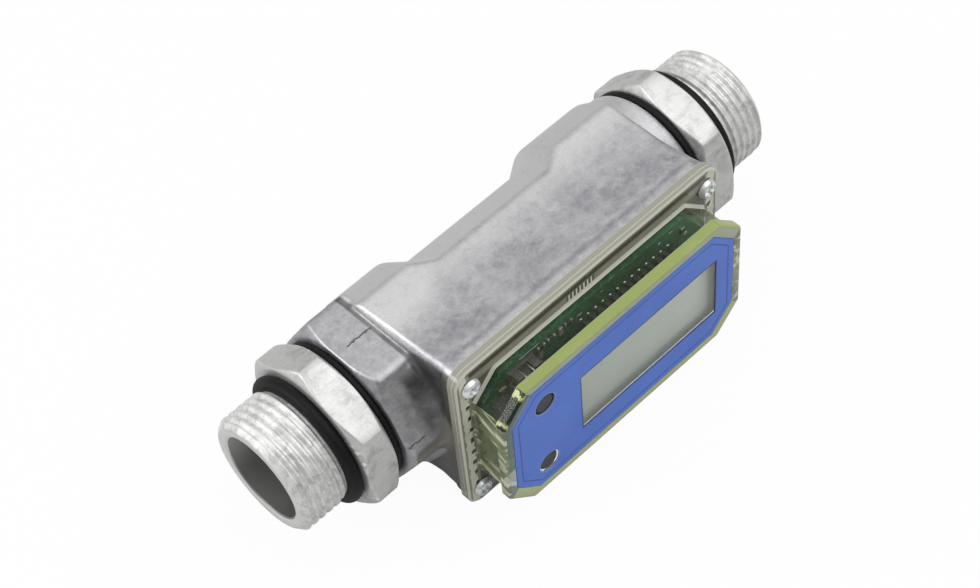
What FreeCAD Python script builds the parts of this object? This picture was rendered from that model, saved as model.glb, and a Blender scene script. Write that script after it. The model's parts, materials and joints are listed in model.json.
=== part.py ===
"""In-line turbine flow meter, G1 threads, with an electronic display under a clear cover.

Frame, in millimetres: the origin is the centre of the inlet end face, on the pipe axis.
+X is the flow direction, -Y is the way the display faces, +Z is up.
Sizes of the display head are half sizes from the display centre unless a comment says otherwise.
"""
import FreeCAD
import Part
import math
import os

V = FreeCAD.Vector
X_AXIS = V(1, 0, 0)
Y_AXIS = V(0, 1, 0)
Z_AXIS = V(0, 0, 1)

# ---- driving dimensions ----
# Pipe adapters
THREAD_R = 33.25 / 2        # G1 major radius
THREAD_REACH = 16.7         # end face to the outer face of the hexagon
THREAD_EDGE = 1.3           # bevel at the thread's outer end
PORT_R = 12.1               # flow bore
HEX_THICK = 9.2
HEX_FLATS = 41.0
HEX_CORNER_R = 22.9         # turned radius of the hexagon's corners
INLET_CORNER = 25.0         # degrees, where each hexagon stopped when it was tightened
OUTLET_CORNER = 17.0
RELIEF_R = 15.7             # thread relief that the outer seal sits in
RELIEF_LENGTH = 3.7
INNER_REACH = 15.0          # hexagon to the inner end of the adapter
SEAL_THICK = 2.0            # seal between the hexagon and the casting
SEAL_R = 20.1
PORT_SEAL_THICK = 3.2       # seal on the outer thread's relief
PORT_SEAL_R = 18.9

# Casting
CASTING_LENGTH = 105.5
BARREL_R = 18.2             # round back of the barrel
BLOCK_R = 22.2              # round back of the end blocks
SIDE_HALF = 23.8            # half height of the flat top and bottom, at their back
FRONT_HALF = 25.4           # and at the pad, toward which they slope out
BARREL_FLAT_Y = 1.8         # how far back the flat top runs over the barrel
BLOCK_FLAT_Y = 6.0          # and over the end blocks
BLOCK_HALF_SPAN = 43.5      # display centre to the end of a block
BLOCK_EDGE_R = 5.0          # rounded end edges of the blocks
CREASE_R = 4.0              # rounding where the flat top turns down the back
SHOULDER_INNER = (20.5, 17.5)  # inlet and outlet blend: its start, from the display centre
SHOULDER_OUTER = (26.5, 23.5)  # and its end
END_HEX_FLATS = 43.0        # hexagon at the inlet end
END_HEX_CORNER_R = 24.5     # its corners are turned off at this radius
BOSS_R = 20.6               # round boss at the outlet end
BOSS_EDGE = 1.0
SOCKET_CLEARANCE = 0.1      # threaded sockets that take the adapters
SOCKET_DEPTH = 15.5
PAD_THICK = 2.2
PAD_HALF = (44.1, 26.8)
POCKET_HALF = (33.0, 17.0)  # electronics pocket in the pad
POCKET_FLOOR_Y = -17.0
POCKET_CORNER_R = 3.0

# Display head
DISPLAY_X = 83.4            # inlet face to the display centre
PAD_Y = -25.9               # front face of the casting's pad
FLANGE_HALF = (44.6, 27.3)
FLANGE_CORNER_R = 4.5
FLANGE_THICK = 3.3
WALL_HALF = (39.9, 21.2)    # outer octagon of the cover's walls
WALL_CORNER = 7.5
WALL_THICK = 2.0
RIM_HALF = (41.2, 22.7)     # octagonal lip round the cover's face
RIM_CORNER = 8.0
RIM_THICK = 3.0
RIM_BEVEL = 0.7
FACE_Y = -40.6              # front of the rim
FACE_THICK = 2.6
LABEL_HALF = (38.25, 19.9)
LABEL_CORNER = 7.3
LABEL_THICK = 0.3
LABEL_SINK = 0.05           # label's front behind the rim's front
WINDOW = (-15.6, 31.9, -11.1, 9.8)  # display opening from the display centre: x0, x1, z0, z1
SCREW_POS = (40.3, 21.2)    # cover screws
SCREW_R = 1.5               # over the thread
SCREW_CORE_R = 1.3
SCREW_DEPTH = 9.0
SCREW_HEAD_R = 2.7
SCREW_HEAD_THICK = 1.9
GASKET_THICK = 0.8          # gasket in the pad's groove, under the cover's flange
GASKET_HALF = (42.4, 22.5)
GASKET_CORNER = 9.3
GASKET_INNER_HALF = (38.3, 19.6)
GASKET_INNER_CORNER = 6.8

# Buttons and their switches
BUTTON_X = -27.5
BUTTON_Z = {"upper": 11.8, "lower": -12.7}
BUTTON_R = 2.95
BUTTON_GAP = 0.35           # round the button, in the cover's face
BUTTON_SINK = 0.25          # button's front behind the rim's front
BUTTON_EDGE = 0.35
BUTTON_TRAVEL = 0.6
KEEPER_HALF = 3.9           # square flange that keeps the button in
KEEPER_THICK = 0.9
STEM_HALF = 1.3             # square plunger of a switch
SWITCH_HALF = 3.0
SWITCH_HEIGHT = 3.5

# Display and board
LCD_MARGIN = (1.8, 3.0)     # glass beyond the window, sideways and up
LCD_THICK = 2.8
BACKLIGHT_THICK = 2.0
PIN_PITCH = 2.54
PIN_SIDE = 0.5
PIN_COUNT = 13
PIN_ROW_X = 10.2            # middle of the pin rows
BOARD_Y = -30.4             # front face of the circuit board
BOARD_THICK = 1.6
BOARD_HALF = (37.5, 18.9)
BOARD_CORNER = 6.6
POST_X = 35.7               # board posts, one at each end of the cover
POST_HALF = 1.5
POST_HOLE_R = 0.75
POST_HOLE_DEPTH = 5.0
BOARD_SCREW_LENGTH = 3.5    # into the post
BOARD_SCREW_FLATS = 3.0
BOARD_SCREW_HEAD = 1.2
CHIP_PLACE = (-25.0, -0.4)
CHIP_HALF = 4.0
CHIP_LEADS = 4              # on each side
CAPACITOR_PLACE = (-33.4, 8.0)
CONNECTOR = (-30.0, -21.5, 15.0, 17.2)  # shrouded battery connector: x0, x1, z0, z1
HEADER_X = -1.9             # sensor header at the back of the board
HEADER_PINS = 5

# Rotor, its shaft and supports
ROTOR_LENGTH = 12.0
ROTOR_R = 12.25             # blade tips
ROTOR_HUB_R = 4.0
CHAMBER_R = 12.6
CHAMBER_HALF = 9.0          # rotor chamber, half length
BLADES = 6
BLADE_CHORD = 10.8          # measured along the axis
BLADE_ENTRY = 8.0           # degrees from the axis at the leading edge
BLADE_EXIT = 48.0           # and at the trailing edge
BLADE_THICK = 0.9
BLADE_EDGE_THICK = 0.45
SHAFT_R = 1.0
SHAFT_HALF_LENGTH = 15.0
RUNNING_GAP = 0.03          # radial clearance of the bushes on the shaft
BUSH_R = 2.2
BUSH_LENGTH = 3.0
BUSH_PROUD = 0.3            # how far a bush stands out of the hub
END_PLAY = 0.25
MAGNET_HALF = 1.0
MAGNET_THICK = 1.1
MAGNET_SEAT = 2.6           # distance of a magnet's inner face from the shaft's axis
SUPPORT_R = 14.15           # tips of the support vanes
SUPPORT_BORE_R = 14.2
VANE_THICK = 1.5
NOSE_LENGTH = 9.0
SUPPORT_HUB_LENGTH = 15.0   # nose included

# Pickup and power
SENSOR_R = 3.0
SENSOR_LENGTH = 8.0
SENSOR_TIP_Y = -14.8        # the sensor's end, close behind the rotor chamber
LEAD_HALF = 0.35
LEAD_SPACING = 2.4
CELL_R = 5.25               # AAA cells
CELL_LENGTH = 44.5
CELL_NUB = (1.9, 0.9)       # radius and length of the positive end
CELL_Z = 10.6
CONTACT_GAP = 2.2
CONTACT_THICK = 0.3
HOLDER_WALL = 1.2
HOLDER_FLOOR = 0.8

# ---- places worked out from them ----
SEAL_X = THREAD_REACH + HEX_THICK
CASTING_X = SEAL_X + SEAL_THICK
CASTING_END_X = CASTING_X + CASTING_LENGTH
ROTOR_X = (CASTING_X + CASTING_END_X) / 2
ROTOR_START_X = ROTOR_X - ROTOR_LENGTH / 2
ADAPTER_END_X = SEAL_X + INNER_REACH
SUPPORT_END_X = ROTOR_X - CHAMBER_HALF      # shoulder that the vanes stand against
SUPPORT_FACE_X = ROTOR_START_X - BUSH_PROUD - END_PLAY
BLOCK_X = (DISPLAY_X - BLOCK_HALF_SPAN, DISPLAY_X + BLOCK_HALF_SPAN)
FLANGE_Y = PAD_Y - FLANGE_THICK
RIM_Y = FACE_Y + RIM_THICK
FACE_BACK_Y = FACE_Y + FACE_THICK
LCD_BACK_Y = FACE_BACK_Y + LCD_THICK
BOARD_BACK_Y = BOARD_Y + BOARD_THICK
STEM_FRONT_Y = BOARD_Y - SWITCH_HEIGHT - BUTTON_TRAVEL - 0.3
STEM_BACK_Y = BOARD_Y - BUTTON_TRAVEL - 0.4
CELL_Y = POCKET_FLOOR_Y - HOLDER_FLOOR - CELL_R
SENSOR_BACK_Y = SENSOR_TIP_Y - SENSOR_LENGTH


# ---- shape helpers ----
def cylinder(radius, start, direction, length):
    return Part.makeCylinder(radius, length, start, direction)


def ring_x(outer, inner, x0, x1):
    """Plain ring about the pipe axis from x0 to x1."""
    return turned([(x0, inner), (x0, outer), (x1, outer), (x1, inner)])


def turned(profile):
    """Solid of revolution about the pipe axis from closed (x, radius) points."""
    points = [V(x, r, 0) for x, r in profile]
    face = Part.Face(Part.makePolygon(points + [points[0]]))
    return face.revolve(V(0, 0, 0), X_AXIS, 360)


def turned_y(profile, x, z):
    """Solid of revolution about a line along Y through (x, z), from (y, radius) points."""
    points = [V(x + r, y, z) for y, r in profile]
    face = Part.Face(Part.makePolygon(points + [points[0]]))
    return face.revolve(V(x, 0, z), Y_AXIS, 360)


def box(xs, ys, zs):
    """Block between two values along each axis, given in either order."""
    low = V(min(xs), min(ys), min(zs))
    high = V(max(xs), max(ys), max(zs))
    return Part.makeBox(high.x - low.x, high.y - low.y, high.z - low.z, low)


def block_y(x, z, half, y0, y1):
    """Square block along Y, centred at (x, z) across it."""
    return box((x - half, x + half), (y0, y1), (z - half, z + half))


def prism_y(points, y0, y1):
    """Prism along Y between y0 and y1 from a list of (x, z) points."""
    wire = Part.makePolygon([V(x, y0, z) for x, z in points + points[:1]])
    return Part.Face(wire).extrude(V(0, y1 - y0, 0))


def octagon_y(half, corner, y0, y1):
    """Octagonal prism round the display centre: a rectangle with cut corners."""
    hx, hz = half
    points = []
    for sx, sz in ((1, 1), (-1, 1), (-1, -1), (1, -1)):
        pair = [(sx * hx, sz * (hz - corner)), (sx * (hx - corner), sz * hz)]
        points += pair if sx * sz > 0 else pair[::-1]
    return prism_y([(DISPLAY_X + x, z) for x, z in points], y0, y1)


def rounded_plate(half, radius, y0, y1):
    """Rectangular plate round the display centre with rounded corners."""
    hx, hz = half
    plate = box((DISPLAY_X - hx, DISPLAY_X + hx), (y0, y1), (-hz, hz))
    corners = [e for e in plate.Edges if abs(e.tangentAt(e.FirstParameter).y) > 0.99]
    return plate.makeFillet(radius, corners)


def hexagon(flats, start, length, first_corner):
    """Hexagonal prism along +X from a point; first_corner is degrees from +Y towards +Z."""
    radius = flats / math.sqrt(3)
    points = []
    for k in range(6):
        angle = math.radians(first_corner + 60 * k)
        points.append(start + V(0, radius * math.cos(angle), radius * math.sin(angle)))
    return Part.Face(Part.makePolygon(points + [points[0]])).extrude(V(length, 0, 0))


def fused(shapes):
    return shapes[0].multiFuse(shapes[1:]).removeSplitter()


def mirrored_to_outlet(shape):
    """The same piece turned end for end, at the outlet of the meter."""
    return shape.rotated(V(ROTOR_X, 0, 0), Y_AXIS, 180)


def window_block(margin_x, margin_z, y0, y1):
    """Block behind the display opening, larger than it by the margins."""
    x0, x1, z0, z1 = WINDOW
    return box((DISPLAY_X + x0 - margin_x, DISPLAY_X + x1 + margin_x), (y0, y1),
               (z0 - margin_z, z1 + margin_z))


def screw_places():
    x, z = SCREW_POS
    return [(DISPLAY_X + sx * x, sz * z) for sx in (-1, 1) for sz in (-1, 1)]


def post_places():
    return [(DISPLAY_X + side * POST_X, 0.0) for side in (-1, 1)]


def button_holes(radius, y0, y1):
    """Rods that cut the openings for both buttons."""
    return [cylinder(radius, V(DISPLAY_X + BUTTON_X, y0, z), Y_AXIS, y1 - y0)
            for z in BUTTON_Z.values()]


# ---- casting ----
def casting_section(x, radius, flat_y):
    """Closed outline across the pipe: sloped top and bottom, rounded crease, round back."""
    reach = math.hypot(flat_y, SIDE_HALF)
    lean = math.asin(radius / reach) - math.atan2(flat_y, SIDE_HALF)
    tangent = V(x, radius * math.cos(lean), radius * math.sin(lean))
    corner = V(x, flat_y, SIDE_HALF)
    front = V(x, PAD_Y, FRONT_HALF)
    forward = (front - corner).normalize()
    down = (tangent - corner).normalize()
    bend = math.pi - forward.getAngle(down)
    cut = CREASE_R * math.tan(bend / 2)
    start = corner + forward * cut
    end = corner + down * cut
    inward = (forward + down).normalize()
    middle = corner + inward * (CREASE_R / math.cos(bend / 2) - CREASE_R)

    def low(point):
        return V(point.x, point.y, -point.z)

    edges = [
        Part.makeLine(front, start),
        Part.Arc(start, middle, end).toShape(),
        Part.makeLine(end, tangent),
        Part.Arc(tangent, V(x, radius, 0), low(tangent)).toShape(),
        Part.makeLine(low(tangent), low(end)),
        Part.Arc(low(end), low(middle), low(start)).toShape(),
        Part.makeLine(low(start), low(front)),
        Part.makeLine(low(front), front),
    ]
    return Part.Wire(edges)


def casting_run(x0, x1, radius, flat_y):
    return Part.Face(casting_section(x0, radius, flat_y)).extrude(V(x1 - x0, 0, 0))


def shoulder(x_barrel, x_block):
    """Blend between the barrel's section and an end block's section."""
    barrel = casting_section(x_barrel, BARREL_R, BARREL_FLAT_Y)
    block = casting_section(x_block, BLOCK_R, BLOCK_FLAT_Y)
    return Part.makeLoft([barrel, block], True, True)


def casting_core():
    """Barrel, end blocks and shoulders, with the blocks' end edges rounded."""
    inner = (DISPLAY_X - SHOULDER_INNER[0], DISPLAY_X + SHOULDER_INNER[1])
    outer = (DISPLAY_X - SHOULDER_OUTER[0], DISPLAY_X + SHOULDER_OUTER[1])
    core = fused([
        casting_run(BLOCK_X[0], outer[0], BLOCK_R, BLOCK_FLAT_Y),
        shoulder(inner[0], outer[0]),
        casting_run(inner[0], inner[1], BARREL_R, BARREL_FLAT_Y),
        shoulder(inner[1], outer[1]),
        casting_run(outer[1], BLOCK_X[1], BLOCK_R, BLOCK_FLAT_Y),
    ])
    outline = (BLOCK_HALF_SPAN, FRONT_HALF + 0.5)
    envelope = rounded_plate(outline, BLOCK_EDGE_R, PAD_Y - 1, BLOCK_R + 1)
    return core.common(envelope)


def inlet_hexagon():
    """Hexagon that a wrench holds, its outer corners turned off."""
    length = BLOCK_X[0] + 2.0 - CASTING_X
    flat_r = END_HEX_FLATS / 2
    lead = (END_HEX_CORNER_R - flat_r) * 0.6
    blank = turned([(CASTING_X, 0), (CASTING_X, flat_r), (CASTING_X + lead, END_HEX_CORNER_R),
                    (CASTING_X + length, END_HEX_CORNER_R), (CASTING_X + length, 0)])
    return hexagon(END_HEX_FLATS, V(CASTING_X, 0, 0), length, 0).common(blank)


def outlet_boss():
    x0 = BLOCK_X[1] - 2.0
    return turned([(x0, 0), (x0, BOSS_R), (CASTING_END_X - BOSS_EDGE, BOSS_R),
                   (CASTING_END_X, BOSS_R - BOSS_EDGE), (CASTING_END_X, 0)])


def flow_cavity():
    """Sockets, support bores and rotor chamber, as one turned core."""
    socket_r = THREAD_R + SOCKET_CLEARANCE
    socket_end = CASTING_X + SOCKET_DEPTH
    half = [(CASTING_X - 1, socket_r), (socket_end, socket_r), (socket_end, SUPPORT_BORE_R),
            (SUPPORT_END_X, SUPPORT_BORE_R), (SUPPORT_END_X, CHAMBER_R)]
    other = [(2 * ROTOR_X - x, r) for x, r in reversed(half)]
    return turned([(half[0][0], 0)] + half + other + [(other[-1][0], 0)])


def gasket_groove():
    clearance = 0.1
    outer_half = (GASKET_HALF[0] + clearance, GASKET_HALF[1] + clearance)
    outer = octagon_y(outer_half, GASKET_CORNER, PAD_Y - 1, PAD_Y + GASKET_THICK)
    return outer.cut(octagon_y(GASKET_INNER_HALF, GASKET_INNER_CORNER, PAD_Y - 2, PAD_Y + 2))


def body_casting():
    pad = rounded_plate(PAD_HALF, FLANGE_CORNER_R, PAD_Y, PAD_Y + PAD_THICK)
    solid = fused([casting_core(), pad, inlet_hexagon(), outlet_boss()])
    cuts = [flow_cavity(), gasket_groove()]
    cuts.append(rounded_plate(POCKET_HALF, POCKET_CORNER_R, PAD_Y - 1, POCKET_FLOOR_Y))
    cuts.append(cylinder(SENSOR_R + 0.1, V(ROTOR_X, SENSOR_BACK_Y, 0), Y_AXIS, SENSOR_LENGTH))
    for x, z in screw_places():
        cuts.append(cylinder(SCREW_CORE_R, V(x, PAD_Y - 1, z), Y_AXIS, SCREW_DEPTH + 2))
    for cut in cuts:
        solid = solid.cut(cut)
    return solid


# ---- pipe adapters and their seals ----
def adapter(first_corner):
    """Double-ended threaded nipple with a hexagon, drawn at the inlet."""
    relief_x = THREAD_REACH - RELIEF_LENGTH
    barrel = turned([
        (0, PORT_R), (0, THREAD_R - THREAD_EDGE), (THREAD_EDGE, THREAD_R),
        (relief_x, THREAD_R), (relief_x, RELIEF_R), (THREAD_REACH + 1, RELIEF_R),
        (THREAD_REACH + 1, THREAD_R), (ADAPTER_END_X, THREAD_R), (ADAPTER_END_X, PORT_R)])
    land_r = HEX_FLATS / 2 - 0.4
    lead = (HEX_CORNER_R - land_r) * math.tan(math.radians(30))
    blank = turned([
        (THREAD_REACH, PORT_R), (THREAD_REACH, land_r), (THREAD_REACH + lead, HEX_CORNER_R),
        (SEAL_X, HEX_CORNER_R), (SEAL_X, PORT_R)])
    nut = hexagon(HEX_FLATS, V(THREAD_REACH, 0, 0), HEX_THICK, first_corner).common(blank)
    return fused([barrel, nut])


def body_seal():
    """Flat ring squeezed between the adapter's hexagon and the casting."""
    return ring_x(SEAL_R, THREAD_R + 0.05, SEAL_X, CASTING_X)


def port_seal():
    """Rubber ring in the outer thread's relief."""
    return ring_x(PORT_SEAL_R, RELIEF_R, THREAD_REACH - PORT_SEAL_THICK, THREAD_REACH)


# ---- rotor and its supports ----
def blade_arc(offset):
    """Arc of the blade's section at a distance from its mid-line, in the rotor's middle plane."""
    entry, leave = math.radians(BLADE_ENTRY), math.radians(BLADE_EXIT)
    radius = BLADE_CHORD / (math.sin(leave) - math.sin(entry))
    middle = (entry + leave) / 2
    rise = radius * (math.cos(entry) - math.cos(leave)) / 2
    start_x = ROTOR_X - BLADE_CHORD / 2 - radius * math.sin(entry)
    points = []
    for angle, share in ((entry, BLADE_EDGE_THICK / BLADE_THICK), (middle, 1.0),
                         (leave, BLADE_EDGE_THICK / BLADE_THICK)):
        reach = radius + offset * share
        points.append(V(start_x + reach * math.sin(angle),
                        radius * math.cos(entry) - rise - reach * math.cos(angle), 0))
    return points


def blade():
    """Cambered blade standing on the hub along +Z, trimmed to the tip radius."""
    inside = blade_arc(-BLADE_THICK / 2)
    outside = blade_arc(BLADE_THICK / 2)
    wire = Part.Wire([
        Part.Arc(*inside).toShape(),
        Part.makeLine(inside[2], outside[2]),
        Part.Arc(*reversed(outside)).toShape(),
        Part.makeLine(outside[0], inside[0]),
    ])
    root = ROTOR_HUB_R / 2
    wire.translate(V(0, 0, root))
    stock = Part.Face(wire).extrude(V(0, 0, ROTOR_R))
    return stock.common(cylinder(ROTOR_R, V(ROTOR_START_X, 0, 0), X_AXIS, ROTOR_LENGTH))


def magnet_blocks(thick):
    """Blocks standing on the magnets' seats, on opposite sides of the hub between blades."""
    blocks = []
    for turn in (180 / BLADES, 180 + 180 / BLADES):
        block = box((ROTOR_X - MAGNET_HALF, ROTOR_X + MAGNET_HALF), (-MAGNET_HALF, MAGNET_HALF),
                    (MAGNET_SEAT, MAGNET_SEAT + thick))
        blocks.append(block.rotated(V(0, 0, 0), X_AXIS, turn))
    return blocks


def turbine_rotor():
    """Hub with cambered blades, bored through for its two bushes."""
    pieces = [cylinder(ROTOR_HUB_R, V(ROTOR_START_X, 0, 0), X_AXIS, ROTOR_LENGTH)]
    for k in range(BLADES):
        pieces.append(blade().rotated(V(0, 0, 0), X_AXIS, 360 / BLADES * k))
    solid = fused(pieces).cut(cylinder(BUSH_R, V(ROTOR_START_X - 1, 0, 0), X_AXIS, ROTOR_LENGTH + 2))
    for pocket in magnet_blocks(MAGNET_THICK + 1):
        solid = solid.cut(pocket)
    return solid


def rotor_bush():
    """Bearing bush at the rotor's inlet end."""
    x0 = ROTOR_START_X - BUSH_PROUD
    return ring_x(BUSH_R, SHAFT_R + RUNNING_GAP, x0, x0 + BUSH_LENGTH)


def rotor_support():
    """Crossed vanes and a hub with a rounded nose, held between the adapter and the chamber."""
    tip_x = SUPPORT_FACE_X - SUPPORT_HUB_LENGTH
    outline = [(tip_x, 0)]
    for angle in (30, 60, 90):
        lean = math.radians(angle)
        outline.append((tip_x + NOSE_LENGTH * (1 - math.cos(lean)), ROTOR_HUB_R * math.sin(lean)))
    outline += [(SUPPORT_FACE_X, ROTOR_HUB_R), (SUPPORT_FACE_X, 0)]
    pieces = [turned(outline)]
    envelope = cylinder(SUPPORT_R, V(ADAPTER_END_X, 0, 0), X_AXIS, SUPPORT_END_X - ADAPTER_END_X)
    for turn in (45, 135):
        plate = box((ADAPTER_END_X, SUPPORT_END_X), (-VANE_THICK / 2, VANE_THICK / 2),
                    (-SUPPORT_R - 1, SUPPORT_R + 1))
        pieces.append(plate.rotated(V(0, 0, 0), X_AXIS, turn).common(envelope))
    return fused(pieces).cut(rotor_shaft())


def rotor_shaft():
    start = V(ROTOR_X - SHAFT_HALF_LENGTH, 0, 0)
    return cylinder(SHAFT_R, start, X_AXIS, 2 * SHAFT_HALF_LENGTH)


# ---- clear cover and what holds it ----
def rim_blank():
    """Lip round the face, with a small bevel along its front edge."""
    rim = octagon_y(RIM_HALF, RIM_CORNER, FACE_Y, RIM_Y)
    front = [e for e in rim.Edges if e.BoundBox.YMax < FACE_Y + 0.01]
    return rim.makeChamfer(RIM_BEVEL, front)


def clear_cover():
    """Flange, octagonal walls, lipped face and board posts, all in one clear moulding."""
    solid = fused([
        rounded_plate(FLANGE_HALF, FLANGE_CORNER_R, FLANGE_Y, PAD_Y),
        octagon_y(WALL_HALF, WALL_CORNER, RIM_Y - 0.5, FLANGE_Y + 1),
        rim_blank(),
    ])
    inside = (WALL_HALF[0] - WALL_THICK, WALL_HALF[1] - WALL_THICK)
    inner_corner = WALL_CORNER - WALL_THICK * (2 - math.sqrt(2))
    solid = solid.cut(octagon_y(inside, inner_corner, FACE_BACK_Y, PAD_Y + 1))
    label_gap = 0.15
    recess_half = (LABEL_HALF[0] + label_gap, LABEL_HALF[1] + label_gap)
    recess_y = FACE_Y + LABEL_SINK + LABEL_THICK
    solid = solid.cut(octagon_y(recess_half, LABEL_CORNER, FACE_Y - 1, recess_y))
    for x, z in post_places():
        solid = solid.fuse(block_y(x, z, POST_HALF, FACE_BACK_Y - 0.5, BOARD_Y))
        hole_start = V(x, BOARD_Y - POST_HOLE_DEPTH, z)
        solid = solid.cut(cylinder(POST_HOLE_R, hole_start, Y_AXIS, POST_HOLE_DEPTH + 1))
    for x, z in screw_places():
        hole_start = V(x, FLANGE_Y - 1, z)
        solid = solid.cut(cylinder(SCREW_R + 0.2, hole_start, Y_AXIS, FLANGE_THICK + 2))
    for hole in button_holes(BUTTON_R + BUTTON_GAP, FACE_Y - 1, FACE_BACK_Y + 1):
        solid = solid.cut(hole)
    return solid.removeSplitter()


def cover_gasket():
    """Flat gasket in the pad's groove, under the cover's flange and inside its screws."""
    plate = octagon_y(GASKET_HALF, GASKET_CORNER, PAD_Y, PAD_Y + GASKET_THICK)
    return plate.cut(octagon_y(GASKET_INNER_HALF, GASKET_INNER_CORNER, PAD_Y - 1, PAD_Y + 2))


def cover_screws():
    """Four pan-head screws, one solid each."""
    head_y = FLANGE_Y - SCREW_HEAD_THICK
    tip_y = PAD_Y + SCREW_DEPTH - 1
    profile = [(head_y, 0), (head_y, SCREW_HEAD_R * 0.78), (FLANGE_Y, SCREW_HEAD_R),
               (FLANGE_Y, SCREW_CORE_R), (tip_y, SCREW_CORE_R), (tip_y, 0)]
    return Part.makeCompound([turned_y(profile, x, z) for x, z in screw_places()])


# ---- label, display and buttons ----
def front_label():
    """Printed overlay with the display window and the two button openings cut out."""
    y0 = FACE_Y + LABEL_SINK
    plate = octagon_y(LABEL_HALF, LABEL_CORNER, y0, y0 + LABEL_THICK)
    plate = plate.cut(window_block(0, 0, y0 - 1, y0 + 1))
    for hole in button_holes(BUTTON_R + BUTTON_GAP - 0.05, y0 - 1, y0 + 1):
        plate = plate.cut(hole)
    return plate


def display_window():
    """Clear film in the label's opening."""
    y0 = FACE_Y + LABEL_SINK
    return window_block(0, 0, y0 + 0.05, y0 + LABEL_THICK)


def lcd_panel():
    return window_block(LCD_MARGIN[0], LCD_MARGIN[1], FACE_BACK_Y, LCD_BACK_Y)


def lcd_backlight():
    """Light guide plate behind the glass, between the two rows of pins."""
    return window_block(1.0, 1.5, LCD_BACK_Y, LCD_BACK_Y + BACKLIGHT_THICK)


def lcd_pins():
    """Two rows of pins that carry the glass on the board, held to its upper and lower edges."""
    upper = WINDOW[3] + LCD_MARGIN[1] + PIN_SIDE / 2
    lower = WINDOW[2] - LCD_MARGIN[1] - PIN_SIDE / 2
    pins = []
    for z in (upper, lower):
        for k in range(PIN_COUNT):
            x = DISPLAY_X + PIN_ROW_X + (k - (PIN_COUNT - 1) / 2) * PIN_PITCH
            pins.append(block_y(x, z, PIN_SIDE / 2, FACE_BACK_Y + 0.4, BOARD_Y))
    return Part.makeCompound(pins)


def button_cap(z):
    """Button with a bevelled round front, a square keeper behind the face and a pusher."""
    x = DISPLAY_X + BUTTON_X
    front = FACE_Y + BUTTON_SINK
    keeper = FACE_BACK_Y + 0.1
    cap = turned_y([(front, 0), (front, BUTTON_R - BUTTON_EDGE), (front + BUTTON_EDGE, BUTTON_R),
                    (keeper, BUTTON_R), (keeper, 0)], x, z)
    keeper_back = keeper + KEEPER_THICK
    return fused([cap, block_y(x, z, KEEPER_HALF, keeper, keeper_back),
                  block_y(x, z, STEM_HALF, keeper_back, STEM_FRONT_Y)])


def switch_stem(z):
    return block_y(DISPLAY_X + BUTTON_X, z, STEM_HALF, STEM_FRONT_Y, STEM_BACK_Y)


def button_switches():
    """Bodies of the two push switches on the board."""
    x = DISPLAY_X + BUTTON_X
    bodies = []
    for z in BUTTON_Z.values():
        body = block_y(x, z, SWITCH_HALF, BOARD_Y - SWITCH_HEIGHT, BOARD_Y)
        bodies.append(body.cut(block_y(x, z, STEM_HALF + 0.3, BOARD_Y - SWITCH_HEIGHT - 1, BOARD_Y + 1)))
    return Part.makeCompound(bodies)


# ---- board and what it carries ----
def circuit_board():
    board = octagon_y(BOARD_HALF, BOARD_CORNER, BOARD_Y, BOARD_BACK_Y)
    for x, z in post_places():
        board = board.cut(cylinder(POST_HOLE_R + 0.2, V(x, BOARD_Y - 1, z), Y_AXIS, BOARD_THICK + 2))
    return board


def board_screws():
    """Two small hexagon-head screws that hold the board to its posts."""
    screws = []
    for x, z in post_places():
        shank = cylinder(POST_HOLE_R, V(x, BOARD_Y - BOARD_SCREW_LENGTH, z), Y_AXIS,
                         BOARD_SCREW_LENGTH + BOARD_THICK)
        head = hexagon(BOARD_SCREW_FLATS, V(0, 0, 0), BOARD_SCREW_HEAD, 0)
        head.rotate(V(0, 0, 0), Z_AXIS, 90)
        head.translate(V(x, BOARD_BACK_Y, z))
        screws.append(shank.fuse(head))
    return Part.makeCompound(screws)


def control_chip():
    """Flat-pack controller with a row of leads on each side, between the buttons."""
    thick, stand_off, lead_half, lead_reach = 1.4, 0.2, 0.2, 1.1
    x, z = DISPLAY_X + CHIP_PLACE[0], CHIP_PLACE[1]
    body_back = BOARD_Y - stand_off
    pieces = [block_y(x, z, CHIP_HALF, body_back - thick, body_back)]
    for side in (-1, 1):
        for k in range(CHIP_LEADS):
            lead_z = z + (k - (CHIP_LEADS - 1) / 2) * PIN_PITCH / 2
            pieces.append(box((x + side * (CHIP_HALF - 0.3), x + side * (CHIP_HALF + lead_reach)),
                              (BOARD_Y - 0.5, BOARD_Y), (lead_z - lead_half, lead_z + lead_half)))
    return fused(pieces)


def filter_capacitor():
    """Moulded capacitor at the inlet end of the board, its top edges bevelled."""
    half, height, bevel = 2.3, 4.6, 0.4
    x, z = CAPACITOR_PLACE
    top_y = BOARD_Y - height
    block = block_y(DISPLAY_X + x, z, half, top_y, BOARD_Y)
    return block.makeChamfer(bevel, [e for e in block.Edges if e.BoundBox.YMax < top_y + 0.01])


def battery_connector():
    """Shrouded connector at the top edge of the board, by the upper button."""
    wall, height, floor = 0.6, 4.5, 1.2
    x0, x1, z0, z1 = CONNECTOR
    x0, x1 = DISPLAY_X + x0, DISPLAY_X + x1
    shroud = box((x0, x1), (BOARD_Y - height, BOARD_Y), (z0, z1))
    return shroud.cut(box((x0 + wall, x1 - wall), (BOARD_Y - height - 1, BOARD_Y - floor),
                          (z0 + wall, z1 - wall)))


def sensor_connector():
    """Row of bent header pins at the back of the board's top edge."""
    pitch, pin_half = 2.0, 0.25
    x_mid = DISPLAY_X + HEADER_X
    half_length = HEADER_PINS * pitch / 2
    pieces = [box((x_mid - half_length, x_mid + half_length), (BOARD_BACK_Y, BOARD_BACK_Y + 2.0),
                  (15.6, 17.8))]
    for k in range(HEADER_PINS):
        x = x_mid + (k - (HEADER_PINS - 1) / 2) * pitch
        pieces.append(box((x - pin_half, x + pin_half), (BOARD_BACK_Y + 0.7, BOARD_BACK_Y + 1.2),
                          (17.5, 18.9)))
    return fused(pieces)


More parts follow.
